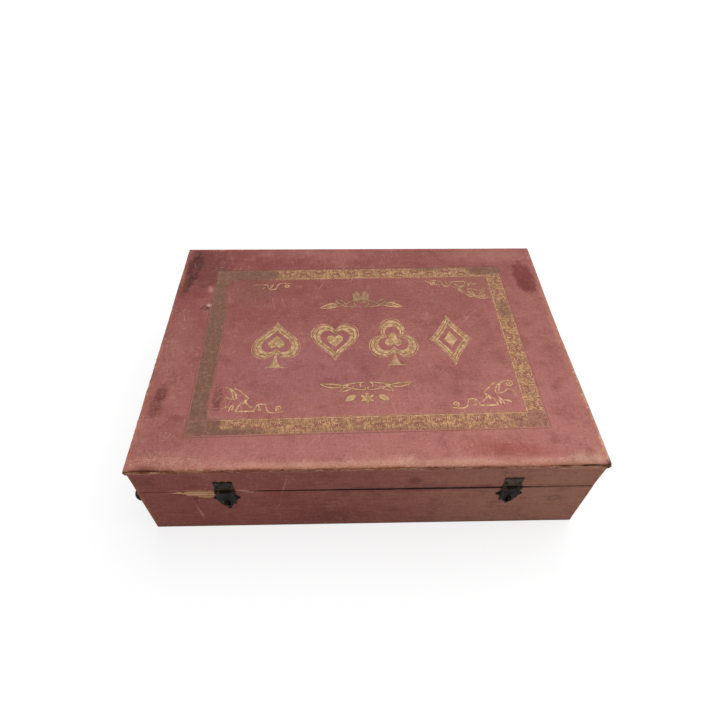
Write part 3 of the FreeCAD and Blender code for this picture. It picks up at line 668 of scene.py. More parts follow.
# the outline of a case at an inset: four straight runs through given stations, with quarter arcs between.
# Stations near a corner are drawn in with it, and all others keep their place
def outlineRing(runs, halfX, halfY, middleY, radius, inset, cornerKeep=26.0, arcSteps=6):
    bend = max(radius - inset, 0.0)
    half = np.array((halfX, halfY))
    corner = half - inset - bend
    turn = np.linspace(0, math.pi / 2, arcSteps + 2)[1:-1]
    ring = []
    for side, run in enumerate(runs):
        along = side % 2
        sign = 1 if side in (0, 1) else -1
        keep = half[along] - cornerKeep
        stretch = (corner[along] - keep) / (half[along] - radius - keep)
        near = np.abs(run) > keep
        place = np.where(near, np.sign(run) * (keep + (np.abs(run) - keep) * stretch), run) * sign
        fixed = np.full(run.shape, half[1 - along] - inset) * (-1 if side in (0, 3) else 1)
        ring.append(np.stack([place, fixed] if along == 0 else [fixed, place], axis=-1))
        angle = turn + (side - 1) * math.pi / 2
        middle = corner * ((1, -1), (1, 1), (-1, 1), (-1, -1))[side]
        ring.append(middle + bend * np.stack([np.cos(angle), np.sin(angle)], axis=-1))
    return np.concatenate(ring) + np.array((0, middleY))


# a profile of (inset, height) pairs carried round the case's outline, as a grid of points
def carryRound(profile, runs, halfX, halfY, middleY, radius):
    rows = []
    for inset, height in profile:
        ring = outlineRing(runs, halfX, halfY, middleY, radius, inset)
        rows.append(np.concatenate([ring, np.full((len(ring), 1), height)], axis=1))
    return np.array(rows)


# rounded corner of a profile: a quarter arc about a centre, from one angle to another in degrees
def arcProfile(inset, height, radius, start, end, count):
    angle = np.radians(np.linspace(start, end, count))
    return [(inset - radius * math.cos(a), height + radius * math.sin(a)) for a in angle]


# lid top: sheet of cloth over the lid board, a grid on top and a rounded edge carried round it
lidCover = dict(cloth=0.5, crown=104.36, edgeRadius=1.7, cornerRadius=1.9, skin=0.05, swell=0.09, dimple=0.04,
                blisterAt=(-162.0, 48.0), blisterSize=2.6, blisterHeight=0.8, blisterRoom=6.0,
                blisterStep=0.8, stepX=1.5, stepY=2.1, edgeWave=0.5, puff=0.4, springs=(3.0, 0.4),
                cracks=((-156.0, -174.0, 0.9), (138.0, 172.0, 1.0)))


# the front corners of the case have sprung: what lies near them swings out to the side
def spring(points, right, left):
    x = points[..., 0]
    near = ramp(points[..., 1], 40.0, lidFrontY)
    points[..., 0] += near * (right * ramp(x, 150.0, lidSideX) - left * ramp(x, -150.0, -lidSideX))


# height of the lid's cloth: slow swells and small dimples about its crown, one blister, a puffed front edge
def lidHeight(x, y):
    flat = np.stack([x, y, np.zeros_like(x)], axis=-1)
    bx, by = lidCover["blisterAt"]
    away = ((x - bx) ** 2 + (y - by) ** 2) / lidCover["blisterSize"] ** 2
    puffed = np.exp(-((y - lidFrontY - 4) / 4) ** 2) * (0.7 + 0.6 * lumps(flat, 23.0, 9))
    swells = lidCover["swell"] * lumps(flat, 62.0, 1) + lidCover["dimple"] * lumps(flat, 15.0, 2)
    return (lidCover["crown"] + swells + lidCover["blisterHeight"] * np.exp(-away * 1.6)
            + lidCover["puff"] * puffed)


def lidTopCover():
    r = lidCover["edgeRadius"]
    halfX, halfY = lidHalf[0] - lidCover["skin"], lidHalf[1] - lidCover["skin"]
    bx, by = lidCover["blisterAt"]
    by -= lidMidY
    room, fine = lidCover["blisterRoom"], lidCover["blisterStep"]
    xs = stations(-(halfX - r), halfX - r, lidCover["stepX"], [(bx - room, bx + room, fine)])
    ys = stations(-(halfY - r), halfY - r, lidCover["stepY"], [(by - room, by + room, fine)])
    gridX, gridY = np.meshgrid(xs, ys + lidMidY)
    top = np.stack([gridX, gridY, lidHeight(gridX, gridY)], axis=-1)
    crown = lidCover["crown"]
    profile = arcProfile(r, crown - r, r, 90, 0, 7)
    profile += [(0, h) for h in np.linspace(crown - r, lipZ, 5)[1:]]
    rim = carryRound(profile, (xs, ys, xs, ys), halfX, halfY, lidMidY, r)
    edge = lidHeight(np.clip(rim[..., 0], -halfX + r, halfX - r),
                     np.clip(rim[..., 1], lidMidY - halfY + r, lidMidY + halfY - r)) - crown
    rim[..., 2] += edge * ramp(rim[..., 2], lipZ, crown)
    # the edge waves in and out, and its lower border is torn and drawn up towards the corners of the front
    away = rim[..., :2] - (0, lidMidY)
    outward = np.sign(away) * (np.abs(away) > (halfX - 3, halfY - 3))
    shrink = np.maximum((lumps(rim, 5.0, 3) * 0.4 + lumps(rim, 17.0, 4) * 0.6) * lidCover["edgeWave"], -0.36)
    rim[..., :2] += outward * (shrink * ramp(crown - rim[..., 2], 0.05, r))[..., None]
    crack = rises(rim[..., 0], lidCover["cracks"])
    crack = crack * (rim[..., 1] < lidFrontY + 2) * (0.75 + 0.4 * lumps(rim, 9.0, 5))
    torn = 0.5 * lumps(rim, 2.3, 6) + 0.55 * lumps(rim, 6.0, 7) + 0.4 * lumps(rim, 24.0, 8)
    rim[..., 2] += np.clip(crack + torn, -0.9, 1.5) * ramp(rim[..., 2], crown - r, lipZ)
    points = np.concatenate([top.reshape(-1, 3), rim.reshape(-1, 3)])
    spring(points, *lidCover["springs"])
    faces = gridQuads(len(ys), len(xs), False).reshape(-1, 4).tolist()
    # the profile runs outwards and down, so its quads are turned to face out
    faces += (gridQuads(*rim.shape[:2], True).reshape(-1, 4)[:, ::-1] + gridX.size).tolist()
    piece = addPiece("lidTopCover", points, faces, "lid", "lidTopCloth", ["lid_top_cloth"])
    thicken(piece, lidCover["cloth"])


# glue and dirt in the crack under the lid's top cloth, whose dark browns are also painted shade in the crack:
# a flat strip carried round the board's edge, with its reach below and above the lip, the insets of its two
# faces and the room at the corners
glue = dict(below=1.6, above=1.8, outer=0.45, inner=0.9, ends=2.0)


def glueAndShadeLine():
    low, high = lipZ - glue["below"], lipZ + glue["above"]
    outer, inner = glue["outer"], glue["inner"]
    profile = [(outer, low), (outer, high), (inner, high), (inner, low), (outer, low)]
    halfX, halfY = lidHalf[:2]
    run = np.linspace(-halfX + glue["ends"], halfX - glue["ends"], 120)
    side = np.linspace(-halfY + glue["ends"], halfY - glue["ends"], 80)
    grid = carryRound(profile, (run, side, run, side), halfX, halfY, lidMidY, lidCover["cornerRadius"])
    spring(grid, *lidCover["springs"])
    quads = gridQuads(*grid.shape[:2], True).reshape(-1, 4).tolist()
    addPiece("lidGlueAndShadeLine", grid, quads, "lid", "oldGlueAndShade", recalculate=True)


lidTopCover()
glueAndShadeLine()

# stamped ornament, drawn in millimetres about the middle of the lid, and a little turned as it was stamped
stamp = dict(turn=1.0, middle=(0.2, -1.9), halfX=159.6, halfY=112.4, band=19.0, fillet=0.6, ground=16.2,
             foil=0.07, sunk=-0.05, fold=35.0)


# from the stamp's own millimetres to the frame's
def stamped(flat):
    angle = math.radians(stamp["turn"])
    spin = np.array(((math.cos(angle), math.sin(angle)), (-math.sin(angle), math.cos(angle))))
    return flat @ spin + np.array(stamp["middle"])


# one piece of stamping: flat places, as shapes by rows by a ring, laid on the lid's cloth and raised
def layStamping(name, flat, height, finish, capped):
    flat = stamped(flat)
    z = lidHeight(flat[..., 0], flat[..., 1]) + height
    points = np.concatenate([flat, z[..., None]], axis=-1)
    faces = tubeFaces(points, capped)
    piece = addPiece(name, points, faces, "lid", finish, recalculate=True)
    piece.data.set_sharp_from_angle(angle=math.radians(stamp["fold"]))


# closed ribbons laid on the lid: a flat-topped section carried along each path. paths is ribbons by points by
# (x, y), widths is ribbons by points; the section has two lower corners and a row of points across the top
def layRibbons(name, paths, widths, finish, lift=0.0, across=2):
    along = np.gradient(paths, axis=1)
    along /= np.maximum(np.linalg.norm(along, axis=-1, keepdims=True), 1e-9)
    normal = np.stack([-along[..., 1], along[..., 0]], axis=-1)
    offsets = np.concatenate([[-1.0], np.linspace(-0.86, 0.86, across), [1.0]])
    flat = paths[:, :, None] + normal[:, :, None] * (widths[..., None] / 2 * offsets)[..., None]
    height = np.concatenate([[stamp["sunk"]], np.full(across, stamp["foil"]), [stamp["sunk"]]])
    layStamping(name, flat, height + lift, finish, True)


# filled outlines about given middles: rings from an inner share of the outline to the whole, then down to the
# cloth and back underneath; an inner share of 0 closes to a point
def layFills(name, outlines, middles, inner, finish, lift=0.0, rings=9):
    shares = np.concatenate([[inner], np.linspace(inner, 1.0, rings), [1.0, inner]])
    height = np.concatenate([[stamp["sunk"]], np.full(rings, stamp["foil"]), [stamp["sunk"]] * 2])
    flat = middles[:, None, None] + outlines[:, None, :-1] * shares[None, :, None, None]
    layStamping(name, flat, height[:, None] + lift, finish, False)


# strokes: cubic curves. A row has the x and y of four corners, then widths at its start, middle and end
def strokes(rows, count):
    rows = np.array(rows, float)
    t = np.linspace(0, 1, count)
    corners = rows[:, :8].reshape(-1, 4, 2)
    weights = np.stack([(1 - t) ** 3, 3 * t * (1 - t) ** 2, 3 * t * t * (1 - t), t ** 3])
    paths = np.einsum("kcd,cn->knd", corners, weights)
    first, middle, last = rows[:, 8:9], rows[:, 9:10], rows[:, 10:11]
    widths = first * (1 - t) + last * t + 4 * t * (1 - t) * (middle - (first + last) / 2)
    return paths, np.maximum(widths, 0.12)


# volutes: spirals that wind in from a radius about a centre; hand is 1 or -1
def volutes(rows, count):
    x, y, radius, turns, start, hand, width = np.array(rows, float).T[..., None]
    t = np.linspace(0, 1, count)
    angle = np.radians(start) + hand * turns * 2 * math.pi * t
    reach = radius * (1 - 0.86 * t)
    paths = np.stack([x + reach * np.cos(angle), y + reach * np.sin(angle)], axis=-1)
    return paths, width * (0.55 + 0.45 * (1 - t)) + 0 * x


# the same paths mirrored left to right, or turned over into the other corners
def mirrored(paths, widths, signs):
    return (np.concatenate([paths * np.array(s) for s in signs]), np.concatenate([widths] * len(signs)))


# each row of strokes, followed by the same one mirrored left to right
def bothHands(rows):
    flip = (-1, 1, -1, 1, -1, 1, -1, 1, 1, 1, 1)
    return [side for row in rows for side in (row, tuple(a * b for a, b in zip(row, flip)))]


# upper vignette: a palmette between two sprays of leaves. Each row is one stroke of the right half
palmette = dict(y=47.0, strokes=[
    (44, 0, 38, 3, 33, 9, 25.5, 5, 0.3, 1.3, 0.9),
    (44, 0, 38, -0.6, 30, -0.6, 24, 3, 0.3, 1.3, 1.0),
    (39, 1.4, 35, 2.2, 31, 3.0, 27, 3.4, 0.2, 0.8, 0.4),
    (27.5, 11.7, 22, 12.5, 18.5, 10.5, 17, 5.5, 0.3, 1.3, 0.9),
    (27.5, 11.7, 25, 7, 22, 5, 18, 3.5, 0.3, 1.2, 0.9),
    (25, 3, 18, 3, 12, 0.3, 3, 0.5, 1.0, 1.2, 0.9),
    (17, 4.5, 13, 10, 9, 11.5, 2.2, 9.4, 0.9, 1.2, 0.8),
    (7, 8, 9.5, 3.5, 4.0, 3.5, 5, 0.6, 0.8, 1.0, 0.7),
    (1.4, 9.4, 2.2, 14, 2.8, 20, 5.2, 25.6, 1.2, 4.0, 2.2),
    (2.4, 9.8, 5.4, 12, 7.0, 15, 7.6, 22.4, 0.9, 3.2, 1.6),
    (1.6, 9.4, 4.6, 10.2, 6.8, 11.6, 8.6, 14.6, 0.7, 2.0, 0.7),
    (0.6, 6.6, 2.0, 7.4, 3.6, 8.6, 5.6, 8.8, 0.8, 1.4, 0.6),
])
# lower vignette: crossing straps and leaves, two buds and a small star flower
strapwork = dict(y=-72.0, strokes=[
    (43, 15.3, 36, 15.5, 29, 14.6, 23.3, 13.2, 0.3, 1.1, 0.9),
    (43, 15.3, 38, 11.5, 32, 9.0, 24.2, 11.2, 0.3, 1.2, 0.9),
    (24.2, 12.4, 20, 13.2, 12, 16.2, 2.5, 16.6, 0.9, 1.2, 0.7),
    (23.3, 12.8, 18, 11.5, 12, 7.4, 2.5, 7.4, 0.9, 1.3, 0.8),
    (25, 5.3, 22.5, 9.5, 20.5, 11.5, 16.5, 13.6, 0.4, 1.2, 0.9),
    (25, 5.3, 18.3, 5.7, 15, 8.6, 11.7, 11.3, 0.4, 1.3, 0.9),
    (2.5, 7.4, 0.3, 8.2, 0.4, 10.8, 3.0, 10.6, 0.8, 1.0, 0.6),
    (2.5, 16.6, 6.5, 15.6, 6.8, 11.4, 4.4, 11.0, 0.7, 1.1, 0.8),
    (6.7, 5.3, 8, 3.5, 9.4, 2.0, 10.8, 0.7, 0.4, 0.4, 0.4),
    (10.2, 1.4, 13.2, -0.6, 16.5, -2.6, 20.4, -5.4, 0.6, 5.6, 0.3),
    (0.2, 5.2, 0.8, 4.2, 1.8, 2.8, 3.2, 2.0, 0.3, 0.5, 0.4),
    (0, -2.4, 2.0, -1.6, 4.2, -0.4, 6.0, 1.2, 0.8, 2.6, 0.3),
    (0, -2.4, 2.0, -3.2, 4.2, -4.4, 5.6, -6.0, 0.8, 2.6, 0.3),
    (0.5, -2.4, 0.9, -0.4, 0.9, 1.2, 0.3, 3.6, 1.2, 1.6, 0.3),
    (0.5, -2.4, 0.9, -4.4, 0.9, -6.4, 0.3, -8.4, 1.2, 1.6, 0.3),
    (0.4, -9.4, 0.6, -9.8, 0.6, -10.2, 0.4, -10.6, 0.5, 0.9, 0.5),
])
# corner piece, measured left and up from the border's inner corner at the lower right. A volute has the x and
# y of its middle, its radius, turns, starting angle, hand and width
cornerPiece = dict(strokes=[
    (66, 6.6, 60, 4.4, 53, 3.4, 50.5, 7.0, 0.3, 0.9, 0.9),
    (50.5, 7.0, 49.2, 9.0, 49.0, 12, 48.2, 14.2, 0.9, 0.8, 0.9),
    (48.4, 14.3, 46, 14.9, 44, 14.9, 41.4, 14.3, 0.9, 1.1, 0.8),
    (41.4, 14.3, 43.6, 10.5, 45.5, 8.0, 44.6, 6.4, 0.8, 0.8, 0.5),
    (41.4, 14.3, 39.5, 11.0, 38.6, 8.4, 38.2, 6.8, 0.7, 0.6, 0.3),
    (39.4, 7.2, 34, 7.0, 28, 7.0, 22.2, 7.2, 0.8, 1.4, 1.1),
    (22.2, 7.2, 23.4, 11, 25.4, 15, 27.2, 18.8, 1.1, 0.8, 0.4),
    (36.6, 11.2, 33, 13, 30.5, 16, 29.6, 20.2, 0.4, 1.2, 0.4),
    (32.6, 21.2, 30.6, 20.2, 28.6, 17.4, 27.6, 13.6, 0.3, 2.0, 0.3),
    (33, 21, 30, 25, 27, 28, 25, 28.8, 0.5, 1.1, 0.4),
    (21.8, 21, 21.6, 27, 18.5, 33, 9.4, 35.4, 1.0, 1.3, 0.8),
    (18.8, 22, 17.6, 27, 16.6, 31, 14.0, 33.6, 0.5, 1.4, 0.4),
    (9.4, 35.4, 4.0, 36, 2.6, 32, 4.4, 30.2, 0.8, 1.2, 0.7),
    (4.4, 30.2, 7.0, 28.2, 10.5, 29.6, 9.6, 32.2, 0.7, 0.9, 0.5),
    (21.8, 21, 15, 20.6, 13, 22, 10.8, 25, 0.9, 1.2, 0.7),
    (10.8, 25, 7.0, 26.4, 3.6, 23, 3.9, 17.7, 0.8, 1.0, 0.4),
    (20.8, 17.7, 18, 13, 16.4, 11, 16.2, 7.2, 0.4, 0.9, 0.4),
    (16.6, 12.2, 13.6, 13.2, 11, 12, 9.4, 9.8, 0.3, 1.6, 0.3),
    (19, 15.4, 20.4, 11.6, 19.6, 9.6, 18.8, 8.6, 0.3, 1.3, 0.3),
    (26, 29.4, 23.5, 31.4, 20.6, 32.8, 18.4, 33.2, 0.3, 1.2, 0.3),
], volutes=[
    (60.6, 9.4, 3.1, 1.4, 250, -1, 1.2),
    (43.4, 8.6, 1.7, 1.1, 60, 1, 0.7),
    (7.6, 31.6, 1.9, 1.0, 10, 1, 0.7),
])
# one length of the border's running ornament, along and across the band: a scalloped lobe of bare cloth
# beside one edge, a spray of petals in it, and leaves outlined on the foil. Every other length is turned over
borderUnit = dict(length=17.4, lobe=(5.1, 4.0), lobeOff=3.2, scallop=0.16, spray=[
    (0, 5.4, 0.2, 4.2, 0.2, 2.6, 0, 0.8, 0.4, 1.1, 0.3),
    *bothHands([
        (0.7, 5.6, 1.1, 4.2, 1.9, 3.0, 2.7, 1.6, 0.3, 1.0, 0.3),
        (1.1, 6.0, 2.2, 5.2, 3.2, 4.6, 4.2, 3.8, 0.3, 0.9, 0.3),
    ]),
    (-2.0, 6.7, -0.7, 6.8, 0.7, 6.8, 2.0, 6.7, 0.5, 0.6, 0.5),
], leaves=[
    (0, -7.6, 0.3, -6, 0.3, -4, 0, -2.4, 0.4, 0.8, 0.4),
    *bothHands([
        (0, -6.6, 1.6, -6.4, 3.2, -5.4, 4.0, -3.6, 0.4, 0.9, 0.4),
        (0, -5.0, 1.2, -4.6, 2.2, -3.6, 2.6, -2.0, 0.4, 0.9, 0.4),
        (6.4, 7.2, 8.2, 5.8, 6.2, 3.8, 7.6, 2.0, 0.3, 0.9, 0.3),
        (7.4, -7.2, 5.6, -5.0, 8.2, -3.0, 6.2, -0.8, 0.3, 0.9, 0.3),
    ]),
])


# a straight ribbon from one point to another, with many points so that it follows the cloth
def straight(start, end, width, count=80):
    t = np.linspace(0, 1, count)[:, None]
    return np.array(start) * (1 - t) + np.array(end) * t, np.full(count, width)


# the band of foil, its corner blocks and the fine lines along it; returns the four runs between the corners
def stampBand():
    middleX = stamp["halfX"] - stamp["band"] / 2
    middleY = stamp["halfY"] - stamp["band"] / 2
    cut = stamp["ground"] / 2 + 0.5
    endX, endY = middleX - cut, middleY - cut
    runs = [((-endX, -middleY), (endX, -middleY)), ((middleX, -endY), (middleX, endY)),
            ((endX, middleY), (-endX, middleY)), ((-middleX, endY), (-middleX, -endY))]
    blocks = [((x - stamp["ground"] / 2, y), (x + stamp["ground"] / 2, y))
              for x in (-middleX, middleX) for y in (-middleY, middleY)]
    grounds = [straight(a, b, stamp["ground"]) for a, b in runs + blocks]
    layRibbons("lidBorderGround", *map(np.array, zip(*grounds)), "wornFoil", across=9)
    rule = (stamp["band"] + stamp["ground"] - stamp["fillet"]) / 2
    half = stamp["fillet"] / 2
    for name, inset, finish, lift in (("lidOuterFillet", half, "bandCloth", 0.01),
                                      ("lidInnerFillet", stamp["band"] - half, "wornFoil", 0.01),
                                      ("lidInnerRule", rule, "goldFoil", 0.02)):
        x, y = stamp["halfX"] - inset, stamp["halfY"] - inset
        corners = [(-x, -y), (x, -y), (x, y), (-x, y)]
        lines = [straight(a, b, stamp["fillet"], 120) for a, b in zip(corners, corners[1:] + corners[:1])]
        layRibbons(name, *map(np.array, zip(*lines)), finish, lift=lift)
    return runs


# the running ornament, in whole lengths along each run of the band
def stampBorder(runs):
    t = np.linspace(0, 2 * math.pi, 49)
    lobe = np.stack([np.cos(t), np.sin(t)], axis=-1) * borderUnit["lobe"]
    lobe = lobe * (1 + borderUnit["scallop"] * np.cos(6 * t))[:, None]
    spray, sprayWidths = strokes(borderUnit["spray"], 7)
    leaves, leafWidths = strokes(borderUnit["leaves"], 9)
    lobes, middles, sprays, grown = [], [], [], []
    for start, end in runs:
        start, end = np.array(start), np.array(end)
        length = np.linalg.norm(end - start)
        along = (end - start) / length
        across = np.array((-along[1], along[0]))
        number = int(round(length / borderUnit["length"]))
        for i in range(number):
            middle = start + (end - start) * (i + 0.5) / number
            turned = np.stack([along, across if i % 2 else -across])
            lobes.append(lobe @ turned)
            middles.append(middle + borderUnit["lobeOff"] * turned[1])
            sprays.append(middle + spray @ turned)
            grown.append(middle + leaves @ turned)
    count = len(middles)
    grown, leafWidths = np.concatenate(grown), np.tile(leafWidths, (count, 1))
    layRibbons("lidBorderLeaves", grown, leafWidths, "bandCloth", lift=0.03)
    layRibbons("lidBorderVeins", grown + 0.6, leafWidths * 0.5, "goldFoil", lift=0.03)
    layFills("lidBorderLobes", np.array(lobes), np.array(middles), 0.0, "bandCloth", 0.05)
    sprayWidths = np.tile(sprayWidths, (count, 1)) * 0.8
    layRibbons("lidBorderSprays", np.concatenate(sprays), sprayWidths, "goldFoil", lift=0.08)


# the corner of the field inside the border, at the upper right
def innerCorner():
    inset = stamp["band"] + 0.4
    return np.array((stamp["halfX"] - inset, stamp["halfY"] - inset))


def stampOrnaments():
    both = ((1, 1), (-1, 1))
    for name, art in (("lidPalmette", palmette), ("lidStrapwork", strapwork)):
        paths, widths = strokes(art["strokes"], 17)
        paths, widths = mirrored(paths, widths, both)
        layRibbons(name + "Press", paths + (0, art["y"]), widths * 1.3 + 1.5, "bandCloth", lift=-0.03)
        layRibbons(name, paths + (0, art["y"]), widths * 1.3 + 0.1, "goldFoil")
    paths, widths = strokes(cornerPiece["strokes"], 17)
    curls, curlWidths = volutes(cornerPiece["volutes"], 17)
    paths = np.concatenate([paths, curls]) * (-1, 1) + innerCorner() * (1, -1)
    widths = np.concatenate([widths, curlWidths]) * 1.3
    layRibbons("lidCornerScrolls", *mirrored(paths, widths, ((1, 1), (-1, 1), (1, -1), (-1, -1))), "goldFoil")


# the upper right corner piece has kept its foil ground: the field between the border's inner corner and a
# hollow edge, which runs through these places, measured left and down from the corner
cornerField = dict(left=(68, 62, 50, 40, 32, 22, 12, 1), down=(4, 11, 12.4, 14.4, 19, 27, 32, 34.5),
                   middle=(2.5, 2.5))


def stampCornerField():
    t = np.linspace(0, 1, 61)
    knots = np.linspace(0, 1, len(cornerField["left"]))
    left = np.interp(t, knots, cornerField["left"])
    down = np.interp(t, knots, cornerField["down"])
    hollow = np.stack([left + 0.5 * np.sin(t * 40), down + 0.5 * np.cos(t * 40)], axis=-1)
    along = np.stack([np.full(20, 0.6), np.linspace(33.5, 0.6, 20)], axis=-1)
    back = np.stack([np.linspace(1.6, 67, 30), np.full(30, 0.6)], axis=-1)
    outline = np.concatenate([hollow, along, back, hollow[:1]])
    corner = innerCorner()
    middle = np.array(cornerField["middle"])
    layFills("lidCornerField", -(outline - middle)[None], (corner - middle)[None], 0.0, "fieldCloth")
    edge = np.full((1, len(hollow)), 0.9)
    layRibbons("lidCornerEdge", (corner - hollow)[None], edge, "goldFoil", lift=0.02)
    paths, widths = strokes(cornerPiece["strokes"], 17)
    paths = corner - paths * (0.97, 0.9) - (1.6, 0.4)
    layRibbons("lidCornerFieldLeaves", paths, widths * 1.1, "goldFoil", lift=0.05)


# outlines of the four card suits, about 1 across: closed curves of one angle
def suitOutlines(count):
    t = np.linspace(0, 2 * math.pi, count + 1)
    # a heart: cube of the sine across, and four falling cosines up
    lobes = (13 * np.cos(t) - 5 * np.cos(2 * t) - 2 * np.cos(3 * t) - np.cos(4 * t) + 2) / 16
    heart = np.stack([np.sin(t) ** 3, lobes], axis=-1) * 0.54
    # a diamond: powers a little over two of sine and cosine give sides that bend in
    bend = 2.3
    diamond = np.stack([0.48 * np.sign(np.sin(t)) * np.abs(np.sin(t)) ** bend,
                        0.66 * np.sign(np.cos(t)) * np.abs(np.cos(t)) ** bend], axis=-1)
    spade = heart * (1, -1) + (0, 0.06)
    # a club: the farthest of three discs along each ray from its middle
    ray = np.stack([np.sin(t), np.cos(t)], axis=-1)
    discs = 0.31 * np.array([(math.sin(a), math.cos(a)) for a in (0, 2.1, -2.1)])
    along = ray @ discs.T
    inside = np.maximum(0.28 ** 2 - (0.31 ** 2 - along ** 2), 0)
    club = ray * np.max(along + np.sqrt(inside), axis=1)[:, None]
    return {"spade": spade, "heart": heart, "club": club, "diamond": diamond}


# suit pips: a contour, a broad band with a line of cloth along it, and a small pip inside; dark suits have a
# foot. Sizes in millimetres, and the rest as shares of the outline
suits = dict(order=("spade", "heart", "club", "diamond"), first=-86.5, spacing=58.0, y=-2.0, width=44.0,
             height=52.0, contour=0.9, bandFrom=0.62, bandTo=0.93, inlay=0.79, inlayWidth=0.7, inner=0.34,
             footDrop=0.64, count=96)
# the foot of a dark suit, from the middle of its base: a flaring stem and a bar. Strokes as above
suitFoot = [(0, 19, 0, 13, 0, 7, 0, 0.6, 3.4, 3.6, 12.0), (-9.5, 0, -4, 1, 4, 1, 9.5, 0, 0.6, 1.8, 0.6)]


def stampSuits():
    outlines = suitOutlines(suits["count"])
    middles = np.array([(suits["first"] + i * suits["spacing"], suits["y"]) for i in range(4)])
    shapes = np.array([outlines[suit] for suit in suits["order"]]) * (suits["width"], suits["height"])
    placed = middles[:, None]
    layRibbons("lidSuitContours", shapes + placed, np.full(shapes.shape[:2], suits["contour"]), "pipFoil")
    inlay = np.full(shapes.shape[:2], suits["inlayWidth"])
    layRibbons("lidSuitInlay", shapes * suits["inlay"] + placed, inlay, "bandCloth", lift=0.06)
    inside = suits["bandFrom"] / suits["bandTo"]
    layFills("lidSuitBands", shapes * suits["bandTo"], middles, inside, "pipFoil")
    layFills("lidSuitPips", shapes * suits["inner"], middles, 0.0, "pipFoil")
    paths, widths = strokes(suitFoot, 17)
    drop = (0, suits["height"] * suits["footDrop"])
    feet = np.concatenate([paths + middles[i] - drop for i in (0, 2)])
    layRibbons("lidSuitFeet", feet, np.concatenate([widths] * 2), "pipFoil", across=5)


stampBorder(stampBand())
stampOrnaments()
stampCornerField()
stampSuits()

# side cloths: sheet carried round the case, from the far border over the rim and a little way inside
wallCover = dict(cloth=0.5, cornerRadius=1.4, rimRadius=0.7, turnIn=7.5, liningGap=0.55, swell=0.10,
                 pimple=0.05, sunk=0.12, hingeHalf=25.0, leafDepth=8.0, barrelRoom=1.9,
                 lapLeast=0.55, lap=1.6, lapBehind=0.5, opened=((-154.0, -174.0, 0.8), (136.0, 168.0, 0.8)),
                 dips=((-154.0, -172.0, 0.3), (136.0, 168.0, 1.3)), coarse=3.2, medium=1.8, fine=0.5)
# where the cloth has torn off beside the left clasp
tear = dict(fromX=-172.0, toX=-126.0, lowest=54.4, top=69.0)
# raised creases: x at the foot, lower and upper height, width and height of the ridge, and how it leans
creases = [(-78.0, 40.0, 98.0, 0.9, 0.22, 0.22), (-152.0, 14.0, 46.0, 1.1, 0.25, 0.0),
           (-60.0, 42.0, 62.0, 0.8, 0.15, -0.05)]


# true where a point of the front has lost its cloth: a wedge with its tip at the left and a ragged border
def tornAway(points):
    x, z = points[..., 0], points[..., 2]
    ragged = 2.0 * lumps(points, 1.7, 11) + 3.0 * lumps(points, 4.0, 12)
    along = np.clip((x - tear["fromX"]) / (tear["toX"] - tear["fromX"]), 0, 1)
    bottom = baseRim - 1.0 - (baseRim - tear["lowest"]) * along ** 0.65 + ragged
    top = baseRim + (tear["top"] - baseRim) * np.clip(along * 2.4 - 0.5, 0, 1) + 0.5 * ragged
    onFront = points[..., 1] < frontY + 1.6
    return onFront & (x > tear["fromX"]) & (x < tear["toX"]) & (z > bottom) & (z < top)


# profile of a side cloth, as insets and depths from the rim: along the outside, over the rim and down inside
def wallProfile(reach, innerInset):
    r = wallCover["rimRadius"]
    outside = np.concatenate([np.linspace(reach, 12, max(int((reach - 12) / 2.4), 2)),
                              np.linspace(11.5, 2.0, 20)[:-1], [wallCover["barrelRoom"], 1.5, 1.1]])
    profile = [(0.0, h) for h in outside]
    quarter = np.radians(np.linspace(0, 90, 5))
    profile += [(r - r * math.cos(a), r - r * math.sin(a)) for a in quarter]
    onRim = [*np.linspace(r, innerInset - r, 7)[1:-1], wallCover["leafDepth"]]
    profile += [(inset, 0.0) for inset in sorted(onRim)]
    quarter = np.radians(np.linspace(0, 90, 4))
    profile += [(innerInset - r + r * math.sin(a), r - r * math.cos(a)) for a in quarter]
    return profile + [(innerInset, h) for h in np.linspace(r, wallCover["turnIn"], 4)[1:]]


# how far the glued cloth stands out: swells, pimples and the raised creases
def clothBulge(grid):
    bulge = wallCover["swell"] * lumps(grid, 40.0, 21) + wallCover["pimple"] * lumps(grid, 9.0, 22)
    for x, low, high, width, height, lean in creases:
        line = grid[..., 0] - x - lean * (grid[..., 2] - low) - 0.8 * lumps(grid, 9.0, 23)
        ends = ramp(grid[..., 2], low, low + 8) * ramp(grid[..., 2], high, high - 8)
        bulge = bulge + height * np.exp(-(line / width) ** 2) * ends * (grid[..., 1] < frontY + 1)
    return bulge


# the lid's cloth laps over the edge of its board and ends in a torn line; border is 1 at that end
def lapOver(grid, border):
    flare = 1 + 0.25 * lumps(grid * (1, 1, 0), 4.0, 26) + 0.2 * lumps(grid * (1, 1, 0), 13.0, 27)
    opened = rises(grid[..., 0], wallCover["opened"])
    lap = wallCover["lapLeast"] + (wallCover["lap"] - wallCover["lapLeast"]) * opened * flare
    lap = np.where(grid[..., 1] < frontY + 2, lap, wallCover["lapBehind"])
    lap = lap * ramp(grid[..., 2], lidHigh - 4.0, lidHigh + 0.6)
    grid[..., 0] *= 1 + lap / sideX
    grid[..., 1] *= 1 + lap * np.where(grid[..., 1] < 0, 1.0, -0.4) / backY
    ragged = 0.35 * lumps(grid, 2.1, 24) + 0.3 * lumps(grid, 5.0, 25) + 0.3 * lumps(grid, 34.0, 8)
    dip = rises(grid[..., 0], wallCover["dips"])
    grid[..., 2] += (ragged - dip * (grid[..., 1] < frontY + 2)) * border


